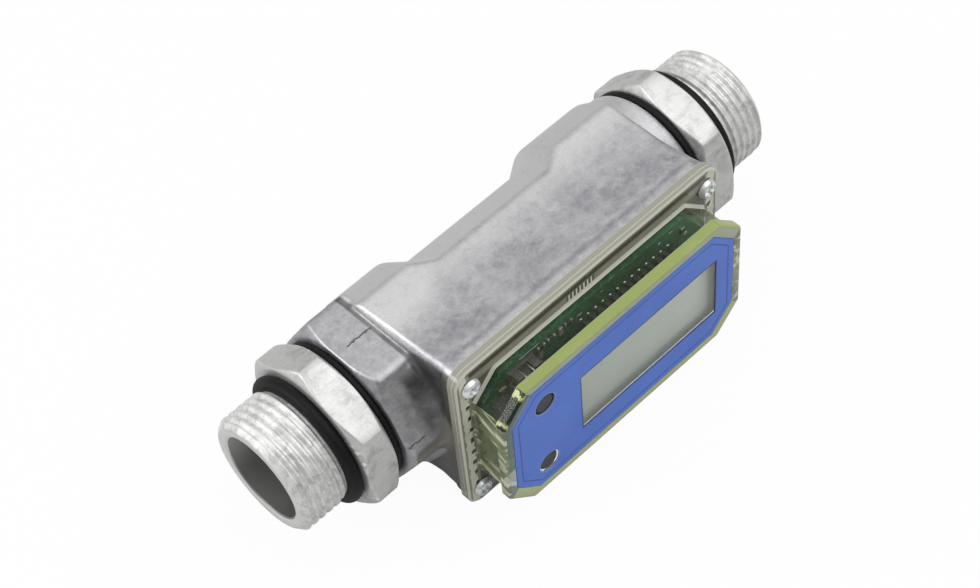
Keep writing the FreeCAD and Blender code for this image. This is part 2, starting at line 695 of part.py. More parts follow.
# ---- pickup and power ----
def cell_places():
    """Height of each cell and the direction that its positive end points."""
    return ((CELL_Z, 1), (-CELL_Z, -1))


def battery_cells():
    """Two AAA cells, head to tail, each with its raised positive end."""
    nub_r, nub_length = CELL_NUB
    cells = []
    for z, way in cell_places():
        negative = -way * CELL_LENGTH / 2
        shoulder_x = -negative - way * nub_length
        cell = turned([(negative, 0), (negative, CELL_R), (shoulder_x, CELL_R), (shoulder_x, nub_r),
                       (-negative, nub_r), (-negative, 0)])
        cell.translate(V(DISPLAY_X, CELL_Y, z))
        cells.append(cell)
    return Part.makeCompound(cells)


def battery_holder():
    """Tray in the pad's pocket with end walls and a low rib along each side."""
    half_x = CELL_LENGTH / 2 + CONTACT_GAP + HOLDER_WALL
    half_z = CELL_Z + CELL_R + 0.7
    rib = 0.6
    floor = box((DISPLAY_X - half_x, DISPLAY_X + half_x),
                (POCKET_FLOOR_Y - HOLDER_FLOOR, POCKET_FLOOR_Y), (-half_z, half_z))
    sensor_hole = box((DISPLAY_X - 8, DISPLAY_X + 8), (POCKET_FLOOR_Y - 2, POCKET_FLOOR_Y + 1), (-4, 4))
    pieces = [floor.cut(sensor_hole)]
    for side in (-1, 1):
        outer_x = DISPLAY_X + side * half_x
        pieces.append(box((outer_x - side * HOLDER_WALL, outer_x),
                          (CELL_Y - CELL_R * 0.8, POCKET_FLOOR_Y), (-half_z, half_z)))
        pieces.append(box((DISPLAY_X - half_x, DISPLAY_X + half_x), (CELL_Y, POCKET_FLOOR_Y),
                          (side * (half_z - rib), side * half_z)))
    return fused(pieces)


def battery_contacts():
    """A plate with a stepped nose at each cell end, wider at the negative end."""
    plate_half = 3.4
    contacts = []
    for z, way in cell_places():
        negative = -way * CELL_LENGTH / 2
        for end, side, nose_half in ((negative, -way, 2.2), (-negative, way, 1.4)):
            wall = end + side * CONTACT_GAP
            face = wall - side * CONTACT_THICK
            plate = box((face, wall), (-plate_half, plate_half), (-plate_half, plate_half))
            nose = box((face, end), (-nose_half, nose_half), (-nose_half, nose_half))
            contact = plate.fuse(nose)
            contact.translate(V(DISPLAY_X, CELL_Y, z))
            contacts.append(contact)
    return Part.makeCompound(contacts)


def pickup_sensor():
    """Round magnetic sensor standing in its well close to the rotor's magnets."""
    return cylinder(SENSOR_R, V(ROTOR_X, SENSOR_BACK_Y, 0), Y_AXIS, SENSOR_LENGTH)


def sensor_leads():
    """Two stiff leads from the sensor to the board."""
    leads = [block_y(ROTOR_X, side * LEAD_SPACING / 2, LEAD_HALF, BOARD_BACK_Y, SENSOR_BACK_Y)
             for side in (-1, 1)]
    return Part.makeCompound(leads)


# ---- all pieces ----
def all_parts():
    parts = {
        "body_casting": body_casting(),
        "inlet_adapter": adapter(INLET_CORNER),
        "outlet_adapter": mirrored_to_outlet(adapter(180 - OUTLET_CORNER)),
        "turbine_rotor": turbine_rotor(),
        "rotor_magnets": Part.makeCompound(magnet_blocks(MAGNET_THICK)),
        "rotor_shaft": rotor_shaft(),
        "cover_gasket": cover_gasket(),
        "clear_cover": clear_cover(),
        "cover_screws": cover_screws(),
        "front_label": front_label(),
        "display_window": display_window(),
        "lcd_panel": lcd_panel(),
        "lcd_backlight": lcd_backlight(),
        "lcd_pins": lcd_pins(),
        "circuit_board": circuit_board(),
        "board_screws": board_screws(),
        "control_chip": control_chip(),
        "filter_capacitor": filter_capacitor(),
        "battery_connector": battery_connector(),
        "sensor_connector": sensor_connector(),
        "button_switches": button_switches(),
        "battery_cells": battery_cells(),
        "battery_holder": battery_holder(),
        "battery_contacts": battery_contacts(),
        "pickup_sensor": pickup_sensor(),
        "sensor_leads": sensor_leads(),
    }
    paired = {
        "body_seal": body_seal(),
        "port_seal": port_seal(),
        "rotor_support": rotor_support(),
        "rotor_bush": rotor_bush(),
    }
    for name, shape in paired.items():
        parts["inlet_" + name] = shape
        parts["outlet_" + name] = mirrored_to_outlet(shape)
    for name, z in BUTTON_Z.items():
        parts[name + "_button"] = button_cap(z)
        parts[name + "_switch_stem"] = switch_stem(z)
    return parts


os.makedirs("parts", exist_ok=True)
for node, shape in all_parts().items():
    shape.exportStep("parts/" + node + ".step")
    bound = shape.BoundBox
    print(f"{node:22s} solids {len(shape.Solids)} valid {shape.isValid()} volume {shape.Volume:9.1f} "
          f"x {bound.XMin:7.2f} {bound.XMax:7.2f} y {bound.YMin:7.2f} {bound.YMax:7.2f} "
          f"z {bound.ZMin:7.2f} {bound.ZMax:7.2f}")
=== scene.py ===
"""Looks of the turbine flow meter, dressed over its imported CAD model.

Sizes in the piece functions are in millimetres in the CAD frame; Blender's own data is in metres.
"""
import json
import math

import bmesh
import bpy
from mathutils import Matrix, Vector


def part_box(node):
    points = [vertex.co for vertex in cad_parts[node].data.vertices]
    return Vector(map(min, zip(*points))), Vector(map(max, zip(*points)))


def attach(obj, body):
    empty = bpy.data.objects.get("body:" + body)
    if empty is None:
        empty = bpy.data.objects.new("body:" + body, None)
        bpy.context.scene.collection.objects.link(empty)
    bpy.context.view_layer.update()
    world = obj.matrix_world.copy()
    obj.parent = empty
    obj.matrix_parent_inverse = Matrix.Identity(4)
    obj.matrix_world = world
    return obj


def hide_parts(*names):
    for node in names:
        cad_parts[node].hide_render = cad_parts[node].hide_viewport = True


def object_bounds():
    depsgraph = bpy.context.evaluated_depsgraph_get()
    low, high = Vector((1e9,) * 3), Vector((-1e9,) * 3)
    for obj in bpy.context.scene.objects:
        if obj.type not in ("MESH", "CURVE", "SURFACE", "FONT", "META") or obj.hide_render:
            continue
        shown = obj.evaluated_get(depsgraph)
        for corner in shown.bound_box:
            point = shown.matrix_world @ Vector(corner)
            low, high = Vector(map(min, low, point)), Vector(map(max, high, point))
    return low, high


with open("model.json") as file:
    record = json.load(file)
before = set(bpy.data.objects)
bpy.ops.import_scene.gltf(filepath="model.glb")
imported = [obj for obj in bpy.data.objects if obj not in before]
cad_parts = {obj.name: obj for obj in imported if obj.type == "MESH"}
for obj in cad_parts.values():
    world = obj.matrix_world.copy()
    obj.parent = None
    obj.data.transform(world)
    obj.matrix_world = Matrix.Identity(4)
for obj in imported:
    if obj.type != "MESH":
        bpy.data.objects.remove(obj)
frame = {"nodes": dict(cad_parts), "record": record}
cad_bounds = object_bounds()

MM = 0.001
nodes = frame["nodes"]
SLOT_OF = {part["node"]: part["material_slot"] for part in frame["record"]["subparts"]}


# ---- places read from the frame, in millimetres ----
def box_of(node):
    """Low and high corner of a CAD node."""
    low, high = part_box(node)
    return Vector(low) / MM, Vector(high) / MM


COVER = box_of("clear_cover")
LABEL = box_of("front_label")
WINDOW = box_of("display_window")
BOARD = box_of("circuit_board")
ADAPTER = box_of("inlet_adapter")
PORT_SEAL = box_of("inlet_port_seal")
BODY_SEAL = box_of("inlet_body_seal")
LCD = box_of("lcd_panel")
PINS = box_of("lcd_pins")
DISPLAY_X = (COVER[0].x + COVER[1].x) / 2
FACE_Y = COVER[0].y
PAD_Y = COVER[1].y
LENGTH = box_of("outlet_adapter")[1].x
BLOCK_END_X = DISPLAY_X - 43.4
X, Y, Z = range(3)


# ---- materials ----
class Nodes:
    """Short calls for building a node tree; a value is a number, a colour or another node's socket."""

    def __init__(self, tree):
        self.tree = tree

    def node(self, kind, **settings):
        made = self.tree.nodes.new(kind)
        for name, value in settings.items():
            setattr(made, name, value)
        return made

    def set(self, node, socket, value):
        if isinstance(value, bpy.types.NodeSocket):
            self.tree.links.new(value, node.inputs[socket])
        else:
            node.inputs[socket].default_value = value

    def split(self, vector):
        """The three coordinates of a vector."""
        parts = self.node("ShaderNodeSeparateXYZ")
        self.set(parts, 0, vector)
        return parts.outputs

    def math(self, operation, a, b=0.0, clamp=False):
        made = self.node("ShaderNodeMath", operation=operation, use_clamp=clamp)
        self.set(made, 0, a)
        self.set(made, 1, b)
        return made.outputs[0]

    def times(self, first, *others):
        """Product of two or more values."""
        for other in others:
            first = self.math("MULTIPLY", first, other)
        return first

    def smooth(self, value, start, end, low=0.0, high=1.0):
        """Smooth step from low to high as a value goes from start to end."""
        made = self.node("ShaderNodeMapRange", interpolation_type="SMOOTHSTEP")
        for socket, setting in zip(("Value", "From Min", "From Max", "To Min", "To Max"),
                                   (value, start, end, low, high)):
            self.set(made, socket, setting)
        return made.outputs["Result"]


class Shader(Nodes):
    """A material with one Principled shader, laid out in the CAD frame."""

    def __init__(self, name, color, rough, metal=0.0, **sockets):
        self.material = bpy.data.materials.new(name)
        self.material.use_nodes = True
        super().__init__(self.material.node_tree)
        self.shader = self.tree.nodes["Principled BSDF"]
        self.feed("Base Color", (*color, 1.0))
        self.feed("Roughness", rough)
        self.feed("Metallic", metal)
        for socket, value in sockets.items():
            self.feed(socket.replace("_", " "), value)
        self.coords = self.node("ShaderNodeTexCoord").outputs["Object"]

    def feed(self, socket, value):
        self.set(self.shader, socket, value)

    # places and distances
    def place(self, axis):
        """Coordinate along an axis, in metres."""
        return self.split(self.coords)[axis]

    def dot(self, direction):
        """Coordinate along a direction, in metres."""
        made = self.node("ShaderNodeVectorMath", operation="DOT_PRODUCT")
        self.set(made, 0, self.coords)
        self.set(made, 1, direction)
        return made.outputs["Value"]

    def from_pipe_axis(self):
        """Distance from the pipe axis, in metres."""
        flat = self.node("ShaderNodeVectorMath", operation="MULTIPLY")
        self.set(flat, 0, self.coords)
        self.set(flat, 1, (0, 1, 1))
        made = self.node("ShaderNodeVectorMath", operation="LENGTH")
        self.set(made, 0, flat.outputs[0])
        return made.outputs["Value"]

    def along(self, axis, start, end):
        """0 to 1 between two places along an axis, in millimetres."""
        return self.smooth(self.place(axis), start * MM, end * MM)

    def band(self, value, start, end, soft):
        """1 where a length in metres lies between two in millimetres, with soft ends."""
        return self.times(self.smooth(value, (start - soft) * MM, start * MM),
                          self.smooth(value, (end + soft) * MM, end * MM))

    # patterns
    def stretched(self, stretch, turn=(0, 0, 0)):
        """Object coordinates turned by degrees, then stretched along each axis."""
        mapping = self.node("ShaderNodeMapping", vector_type="TEXTURE")
        self.set(mapping, "Vector", self.coords)
        self.set(mapping, "Rotation", [math.radians(angle) for angle in turn])
        self.set(mapping, "Scale", [1 / share for share in stretch])
        return mapping.outputs["Vector"]

    def noise(self, scale, detail=3.0, rough=0.55, stretch=(1, 1, 1), turn=(0, 0, 0), distortion=0.0):
        made = self.node("ShaderNodeTexNoise")
        for socket, value in (("Vector", self.stretched(stretch, turn)), ("Scale", scale), ("Detail", detail),
                              ("Roughness", rough), ("Distortion", distortion)):
            self.set(made, socket, value)
        return made.outputs["Fac"]

    def cell_edges(self, scale, stretch):
        """Distance to the nearest edge between irregular cells."""
        made = self.node("ShaderNodeTexVoronoi", feature="DISTANCE_TO_EDGE")
        self.set(made, "Vector", self.stretched(stretch))
        self.set(made, "Scale", scale)
        return made.outputs["Distance"]

    def facing(self, blend):
        made = self.node("ShaderNodeLayerWeight")
        self.set(made, "Blend", blend)
        return made.outputs["Facing"]

    # colour and surface
    def ramp(self, value, *stops):
        """Colour ramp from (position, colour or grey) stops."""
        made = self.node("ShaderNodeValToRGB")
        self.set(made, "Fac", value)
        points = made.color_ramp.elements
        while len(points) < len(stops):
            points.new(0.5)
        for point, (place, color) in zip(points, stops):
            point.position = place
            grey = isinstance(color, (int, float))
            point.color = (color, color, color, 1.0) if grey else (*color, 1.0)
        return made.outputs["Color"]

    def mix(self, factor, a, b):
        """Colour a where the factor is 0, colour b where it is 1."""
        made = self.node("ShaderNodeMix", data_type="RGBA")
        self.set(made, 0, factor)
        for socket, color in ((6, a), (7, b)):
            self.set(made, socket, color if isinstance(color, bpy.types.NodeSocket) else (*color, 1.0))
        return made.outputs[2]

    def blend(self, pattern, low, high):
        """Colour low where a pattern is low, colour high where it is high."""
        return self.mix(self.ramp(pattern, (0.35, 0.0), (0.65, 1.0)), low, high)

    def bump(self, height, strength, depth, under=None):
        """Bump of a height between 0 and 1, with its depth in millimetres."""
        made = self.node("ShaderNodeBump")
        self.set(made, "Height", height)
        self.set(made, "Strength", strength)
        self.set(made, "Distance", depth * MM)
        if under is not None:
            self.set(made, "Normal", under)
        return made.outputs["Normal"]


def die_marks(made):
    """1 along two short wavering scratches, on the top and the lower front flat of the inlet hexagon."""
    wobble = made.times(made.math("SUBTRACT", made.noise(600, 1), 0.5), 1.6 * MM)
    half_width, marks = 0.14, []
    for across, place, start, end, side in (
            (made.place(Y), 0.0, 31.8, 38.6, made.along(Z, 20.0, 21.0)),
            (made.dot((0, -0.5, -0.866)), 7.4, 28.8, 33.2, made.along(Y, -20.0, -21.0))):
        line = made.band(made.math("ADD", across, wobble), place - half_width, place + half_width, 0.24)
        marks.append(made.times(line, made.band(made.place(X), start, end, 0.8), side))
    return made.math("MAXIMUM", *marks)


def cast_metal():
    """Die-cast aluminium: a smooth pale skin at the back, darker violet mottling by the pad, and painted
    shade in the groove at the inlet hexagon and on the hexagon's front flat beside the block.
    """
    made = Shader("cast_metal", (0.5, 0.5, 0.52), 0.45, 0.85)
    broad = made.noise(85, 4, 0.6)
    middle = made.noise(420, 6, 0.72, distortion=0.4)
    fine = made.noise(1700, 4, 0.75)
    skin = made.ramp(fine, (0.3, (0.65, 0.65, 0.65)), (0.7, (0.78, 0.78, 0.78)))
    skin = made.mix(made.ramp(middle, (0.30, 0.55), (0.46, 0.0)), skin, (0.56, 0.56, 0.565))
    stained = made.ramp(middle, (0.32, (0.33, 0.325, 0.35)), (0.5, (0.45, 0.445, 0.47)),
                        (0.68, (0.58, 0.58, 0.595)))
    stained = made.mix(made.ramp(fine, (0.35, 0.35), (0.6, 0.0)), stained, (0.30, 0.295, 0.32))

    toward_pad = made.times(made.along(Y, 5.0, -11.0), made.ramp(broad, (0.35, 0.6), (0.58, 1.0)))
    end_block = made.times(made.along(X, 60.0, 52.0), made.along(Y, -14.0, -4.0))
    toward_pad = made.math("SUBTRACT", toward_pad, made.times(end_block, 0.5), clamp=True)
    on_hexagon = made.along(X, 40.5, 39.0)
    color = made.mix(made.math("MAXIMUM", toward_pad, made.times(on_hexagon, 0.85)), skin, stained)

    # Painted shade, broken into patches: the groove between the inlet hexagon and the block, and the upper
    # part of the hexagon's front flat beside the block, are darkened.
    shade_patches = made.ramp(broad, (0.35, 1.0), (0.62, 0.55))
    groove_shade = made.times(made.band(made.place(X), 38.9, 40.0, 0.6), shade_patches)
    under_block_shade = made.times(made.band(made.place(X), 36.0, 40.2, 2.5), made.along(Y, -12.0, -16.0),
                             made.band(made.place(Z), 5.0, 17.0, 4.0), shade_patches)
    dark = made.math("MAXIMUM", made.times(groove_shade, 0.95), made.times(under_block_shade, 0.95))
    color = made.mix(dark, color, (0.05, 0.048, 0.045))
    pad_end = made.times(made.along(Y, -23.2, -23.8), made.along(X, BLOCK_END_X + 0.8, BLOCK_END_X - 0.2))
    color = made.mix(made.times(pad_end, 0.9), color, (0.20, 0.195, 0.16))
    marks = die_marks(made)
    made.feed("Base Color", made.mix(made.times(marks, 0.8), color, (0.08, 0.078, 0.08)))

    made.feed("Roughness", made.ramp(middle, (0.3, 0.36), (0.7, 0.50)))
    dents = made.bump(marks, 0.6, 0.15, made.bump(middle, 0.22, 0.16))
    made.feed("Normal", made.bump(fine, 0.35, 0.07, dents))
    return made.material


def turned_metal():
    """Machined aluminium with draw lines along the bar, grime, a worn thread, pale worn edges that also paint
    the highlights on the nut's ridges, and painted shade in the lower bore.
    """
    made = Shader("turned_metal", (0.72, 0.72, 0.70), 0.40, 0.75)
    drawn = made.noise(900, 3, 0.6, stretch=(0.12, 1, 1))
    fine = made.noise(1500, 4, 0.7)
    grime = made.noise(190, 5, 0.7, distortion=0.5)
    worn = made.ramp(made.noise(330, 5, 0.75, distortion=0.6), (0.38, 0.75), (0.56, 0.0))
    radius = made.from_pipe_axis()
    on_thread = made.band(radius, 15.0, 17.0, 0.6)
    # Painted shade: the lower inside of the bore is darkened.
    bore_shade = made.times(made.band(radius, 0.0, 12.3, 0.2), made.along(Z, 2.0, -9.0))
    color = made.blend(drawn, (0.62, 0.62, 0.605), (0.68, 0.68, 0.67))
    color = made.mix(made.ramp(fine, (0.35, 0.4), (0.6, 0.0)), color, (0.45, 0.45, 0.44))
    color = made.mix(made.ramp(grime, (0.30, 0.85), (0.52, 0.0)), color, (0.33, 0.325, 0.31))
    color = made.mix(on_thread, color, made.mix(worn, (0.86, 0.86, 0.845), (0.52, 0.52, 0.50)))
    # Pale convex edges: edge wear, and also painted highlights along the nut's ridges.
    edges = made.ramp(made.node("ShaderNodeNewGeometry").outputs["Pointiness"], (0.505, 0.0), (0.56, 1.0))
    edges = made.math("SUBTRACT", edges, made.times(on_thread, 0.7), clamp=True)
    color = made.mix(edges, color, (0.94, 0.94, 0.93))
    made.feed("Base Color", made.mix(made.times(bore_shade, 0.8), color, (0.10, 0.10, 0.095)))
    made.feed("Roughness", made.math("ADD", made.ramp(grime, (0.3, 0.52), (0.7, 0.38)),
                                     made.times(on_thread, 0.12)))
    made.feed("Normal", made.bump(drawn, 0.12, 0.05, made.bump(fine, 0.3, 0.05, made.bump(grime, 0.2, 0.1))))
    return made.material


def plain(name, color, rough, metal=0.0, grain=600, **sockets):
    """Moulded or plated finish with a fine grain in its colour, gloss and surface."""
    made = Shader(name, color, rough, metal, **sockets)
    grains = made.noise(grain)
    cloud = made.noise(grain / 8)
    darker = [channel * 0.82 for channel in color]
    made.feed("Base Color", made.blend(cloud, darker, color))
    made.feed("Roughness", made.ramp(grains, (0.3, max(rough - 0.06, 0.02)), (0.7, rough + 0.06)))
    made.feed("Normal", made.bump(grains, 0.3, 0.05))
    return made.material


def clear_shell(name, face, edge, low, high, rough=0.08):
    """Clear plastic: nearly open where it faces the eye, tinted and denser toward grazing."""
    made = Shader(name, face, rough, 0.0, IOR=1.5)
    slant = made.facing(0.4)
    made.feed("Base Color", made.mix(slant, face, edge))
    made.feed("Alpha", made.ramp(slant, (0.2, low), (0.95, high)))
    flow = made.noise(170, 4, 0.6, stretch=(1.0, 1.0, 0.16), turn=(38, 0, 0), distortion=0.8)
    made.feed("Normal", made.bump(flow, 0.2, 0.12))
    return made.material


def open_corner():
    """Lip at the cover's upper left corner: nearly open, with yellow-green glints at its ends."""
    made = Shader("cover_open_corner", (0.10, 0.13, 0.06), 0.12, IOR=1.5)
    patches = made.noise(520, 2, 0.5)
    height = made.place(Z)
    ends = made.math("MAXIMUM", made.band(height, 21.0, 24.0, 0.8), made.band(height, 11.0, 15.6, 0.8))
    glints = made.times(ends, made.ramp(patches, (0.47, 0.0), (0.55, 1.0)))
    made.feed("Base Color", made.mix(glints, (0.04, 0.06, 0.03), (0.44, 0.47, 0.17)))
    made.feed("Alpha", made.math("ADD", made.times(glints, 0.6), 0.32))
    made.feed("Normal", made.bump(patches, 0.3, 0.15))
    return made.material


def streaked_wall():
    """End wall of the cover: olive plastic with pale slanting reflections frozen in it."""
    made = Shader("cover_end_wall", (0.25, 0.29, 0.16), 0.12, IOR=1.5)
    slant = made.noise(560, 2, 0.5, stretch=(1.0, 0.13, 0.9), turn=(26, 0, 0), distortion=0.3)
    cloud = made.noise(150, 3, 0.6)
    olive = made.blend(cloud, (0.15, 0.175, 0.085), (0.26, 0.30, 0.155))
    streak = made.ramp(slant, (0.54, 0.0), (0.62, 1.0))
    dark = made.ramp(slant, (0.30, 1.0), (0.42, 0.0))
    color = made.mix(streak, made.mix(dark, olive, (0.07, 0.085, 0.04)), (0.58, 0.60, 0.42))
    made.feed("Base Color", color)
    made.feed("Alpha", made.math("ADD", made.times(streak, 0.2), 0.72))
    made.feed("Normal", made.bump(slant, 0.4, 0.2))
    return made.material


def flange_face():
    """Front face of the flange: bands of the gasket and pad refracted through it, and glints."""
    made = Shader("cover_flange_face", (0.2, 0.2, 0.15), 0.12, IOR=1.5)
    x, _, z = made.split(made.coords)
    blots = made.noise(480, 1, 0.4)
    share = made.times(made.math("SUBTRACT", made.math("ABSOLUTE", z), 20 * MM), 1 / (8 * MM))
    bands = made.ramp(share, (0.16, (0.12, 0.12, 0.085)), (0.33, (0.27, 0.27, 0.21)),
                      (0.50, (0.25, 0.25, 0.19)), (0.60, (0.085, 0.08, 0.055)),
                      (0.72, (0.08, 0.075, 0.05)), (0.86, (0.36, 0.355, 0.29)))

    from_middle = made.math("SUBTRACT", x, DISPLAY_X * MM)
    comb_pitch = 1.25 * MM
    teeth = made.math("SINE", made.times(from_middle, math.tau / comb_pitch))
    comb = made.blend(teeth, (0.13, 0.13, 0.10), (0.70, 0.72, 0.63))
    in_comb = made.times(made.band(from_middle, -8.0, 1.2, 0.2), made.band(z, 21.6, 24.0, 0.3))

    across = made.math("ABSOLUTE", from_middle)
    wander = made.math("ADD", across, made.times(made.math("SUBTRACT", blots, 0.5), 1.6 * MM))
    dash_pitch = 4.6 * MM
    wave = made.math("SINE", made.math("ADD", made.times(z, math.tau / dash_pitch), made.times(blots, 3.0)))
    column = made.times(made.band(wander, 40.9, 41.9, 0.15), made.ramp(wave, (0.35, 0.0), (0.5, 1.0)))
    pale = made.mix(made.band(wander, 41.2, 43.3, 0.3), (0.26, 0.26, 0.19), (0.62, 0.63, 0.51))
    dashes = made.mix(column, pale, (0.035, 0.033, 0.025))

    at_end = made.math("GREATER_THAN", across, 40.2 * MM)
    made.feed("Base Color", made.mix(at_end, made.mix(in_comb, bands, comb), dashes))
    made.feed("Alpha", made.ramp(blots, (0.3, 0.82), (0.7, 0.95)))
    made.feed("Normal", made.bump(blots, 0.3, 0.1))
    return made.material


def printed_blue():
    """Blue label ink with a faint weave."""
    made = Shader("label_blue", (0.065, 0.155, 0.58), 0.42)
    weave = made.noise(1400, 3, 0.6)
    cloud = made.noise(45, 3, 0.5)
    made.feed("Base Color", made.blend(cloud, (0.058, 0.145, 0.54), (0.072, 0.175, 0.62)))
    made.feed("Roughness", made.ramp(weave, (0.3, 0.3), (0.7, 0.44)))
    made.feed("Normal", made.bump(weave, 0.25, 0.03))
    return made.material


def solder_mask():
    """Green board with fine copper runs under the mask."""
    made = Shader("solder_mask", (0.012, 0.09, 0.03), 0.32)
    lines = made.ramp(made.cell_edges(330, (1, 1, 1.6)), (0.03, 1.0), (0.06, 0.0))
    cloud = made.noise(120)
    base = made.mix(cloud, (0.011, 0.065, 0.026), (0.022, 0.105, 0.045))
    toward_outlet = made.along(X, DISPLAY_X + 12, DISPLAY_X + 34)
    base = made.mix(made.times(toward_outlet, 0.8), base, (0.085, 0.235, 0.12))
    made.feed("Base Color", made.mix(lines, base, (0.045, 0.16, 0.07)))
    made.feed("Normal", made.bump(lines, 0.4, 0.04))
    return made.material


def liquid_crystal():
    """Blank display glass, a little paler toward the outlet."""
    made = Shader("liquid_crystal", (0.37, 0.39, 0.355), 0.22)
    cloud = made.noise(30, 2, 0.4)
    shade = made.along(X, DISPLAY_X - 16, DISPLAY_X + 34)
    color = made.mix(shade, (0.58, 0.64, 0.60), (0.72, 0.78, 0.74))
    made.feed("Base Color", made.mix(made.ramp(cloud, (0.3, 0.0), (0.7, 0.25)), color, (0.62, 0.66, 0.61)))
    return made.material


MATERIALS = {
    "cast_body": cast_metal(),
    "adapter_metal": turned_metal(),
    "seal_rubber": plain("black_rubber", (0.004, 0.004, 0.004), 0.55, grain=900, Specular_IOR_Level=0.25),
    "gasket_rubber": plain("gasket_rubber", (0.09, 0.085, 0.075), 0.7),
    "support_plastic": plain("support_acetal", (0.62, 0.62, 0.60), 0.4),
    "spring_steel": plain("spring_steel", (0.5, 0.5, 0.5), 0.35, 1.0),
    "shaft_steel": plain("shaft_steel", (0.7, 0.7, 0.72), 0.2, 1.0),
    "bearing_plastic": plain("bearing_plastic", (0.05, 0.05, 0.05), 0.4),
    "clear_plastic": clear_shell("cover_clear", (0.34, 0.40, 0.26), (0.36, 0.42, 0.26), 0.04, 0.42),
    "screw_steel": plain("bright_zinc", (0.90, 0.93, 0.93), 0.28, 0.6, grain=500),
    "label_print": printed_blue(),
    "window_film": clear_shell("window_film", (0.6, 0.62, 0.6), (0.6, 0.62, 0.6), 0.03, 0.2),
    "lcd_glass": liquid_crystal(),
    "backlight_plastic": plain("backlight_plastic", (0.42, 0.45, 0.37), 0.4),
    # Painted shade: the tinned pins are coloured nearly black, as they sit in shadow under the cover's lip.
    "tinned_pins": plain("tinned_pins", (0.045, 0.05, 0.04), 0.35, 0.5),
    "board_green": solder_mask(),
    "chip_plastic": plain("chip_plastic", (0.02, 0.02, 0.02), 0.5),
    "connector_plastic": plain("connector_plastic", (0.062, 0.056, 0.048), 0.45),
    "header_plastic": plain("header_plastic", (0.75, 0.75, 0.68), 0.5),
    "switch_plastic": plain("switch_plastic", (0.03, 0.03, 0.03), 0.5),
    "cell_sleeve": plain("cell_sleeve", (0.16, 0.17, 0.19), 0.3),
    "holder_plastic": plain("holder_plastic", (0.02, 0.02, 0.02), 0.5),
    "sensor_plastic": plain("sensor_plastic", (0.02, 0.02, 0.025), 0.4),
    "rotor_plastic": plain("rotor_acetal", (0.72, 0.72, 0.70), 0.4),
    "magnet_metal": plain("magnet_nickel", (0.6, 0.6, 0.6), 0.25, 1.0),
    "button_plastic": plain("button_rubber", (0.045, 0.045, 0.06), 0.5, grain=1200),
}
EXTRAS = {
    "lip": clear_shell("cover_lip", (0.30, 0.37, 0.105), (0.33, 0.39, 0.14), 0.88, 0.95, 0.14),
    "rim": clear_shell("cover_rim", (0.33, 0.39, 0.33), (0.36, 0.40, 0.26), 0.86, 0.95, 0.14),
    "flange": clear_shell("cover_flange", (0.36, 0.355, 0.30), (0.31, 0.305, 0.255), 0.84, 0.95, 0.2),
    # Pale strips along the cover's edges and bevels: painted highlights where the clear plastic's edges catch
    # the light.
    "edge": clear_shell("cover_edge_highlight", (0.56, 0.57, 0.47), (0.60, 0.61, 0.50), 0.85, 0.95, 0.12),
    "end_wall": streaked_wall(),
    "flange_face": flange_face(),
    "open_corner": open_corner(),
    "low_rim": clear_shell("cover_low_rim", (0.40, 0.44, 0.22), (0.42, 0.46, 0.22), 0.88, 0.95, 0.14),
    "open_rim": clear_shell("cover_open_rim", (0.14, 0.22, 0.25), (0.20, 0.27, 0.22), 0.55, 0.75, 0.12),
    "border": plain("label_border", (0.035, 0.085, 0.36), 0.4),
    "frame": plain("window_border", (0.03, 0.05, 0.16), 0.4),
    "bezel": plain("lcd_bezel", (0.60, 0.65, 0.60), 0.4),
    "hole_rim": plain("hole_rim", (0.24, 0.32, 0.62), 0.35),
    "solder": plain("solder", (0.50, 0.51, 0.49), 0.3, 1.0, grain=1500),
    "silk": plain("silk_white", (0.85, 0.86, 0.82), 0.5),
    "resistor": plain("resistor_body", (0.025, 0.022, 0.02), 0.4),
    "ceramic": plain("ceramic_tan", (0.40, 0.30, 0.19), 0.5),
}

for name, obj in nodes.items():
    obj.data.materials.clear()
    obj.data.materials.append(MATERIALS[SLOT_OF[name]])


# ---- mesh helpers, in millimetres ----
def unit(value):
    """A value held between 0 and 1."""
    return max(min(value, 1.0), 0.0)


def new_object(name, data):
    """Object linked to the scene."""
    made = bpy.data.objects.new(name, data)
    bpy.context.scene.collection.objects.link(made)
    return made


def add_piece(name, mesh, slot, body="meter", stands_for=(), materials=None, sharp=38):
    """Turns a mesh in millimetres into a named piece riding on a body."""
    mesh.transform(Matrix.Scale(MM, 4))
    for material in materials or [MATERIALS[slot]]:
        mesh.materials.append(material)
    mesh.shade_smooth()
    mesh.set_sharp_from_angle(angle=math.radians(sharp))
    piece = new_object(name, mesh)
    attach(piece, body)
    if stands_for:
        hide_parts(*stands_for)


def mesh_from(name, bm):
    """Mesh of a finished shell, with its faces turned outward."""
    bmesh.ops.remove_doubles(bm, verts=bm.verts, dist=0.0005)
    bmesh.ops.recalc_face_normals(bm, faces=bm.faces)
    mesh = bpy.data.meshes.new(name)
    bm.to_mesh(mesh)
    bm.free()
    return mesh


def add_shell(name, bm, slot, **settings):
    """Turns a finished shell into a named piece."""
    add_piece(name, mesh_from(name, bm), slot, **settings)


def skin_loops(bm, loops, closed=False, material=None):
    """Quads between loops of points; material gives an index for each strip."""
    rings = [[bm.verts.new(point) for point in loop] for loop in loops]
    count = len(rings[0])
    pairs = list(zip(rings, rings[1:]))
    if closed:
        pairs.append((rings[-1], rings[0]))
    for strip, (one, other) in enumerate(pairs):
        for i in range(count):
            j = (i + 1) % count
            face = bm.faces.new((one[i], one[j], other[j], other[i]))
            face.material_index = material[strip] if material else 0
    return rings


def capped_loft(bm, loops):
    """Closed shell through loops of points, with a face at each end."""
    rings = [[bm.verts.new(point) for point in loop] for loop in loops]
    faces = [rings[0], rings[-1]]
    for one, other in zip(rings, rings[1:]):
        for i in range(len(one)):
            j = (i + 1) % len(one)
            faces.append((one[i], one[j], other[j], other[i]))
    bmesh.ops.recalc_face_normals(bm, faces=[bm.faces.new(face) for face in faces])


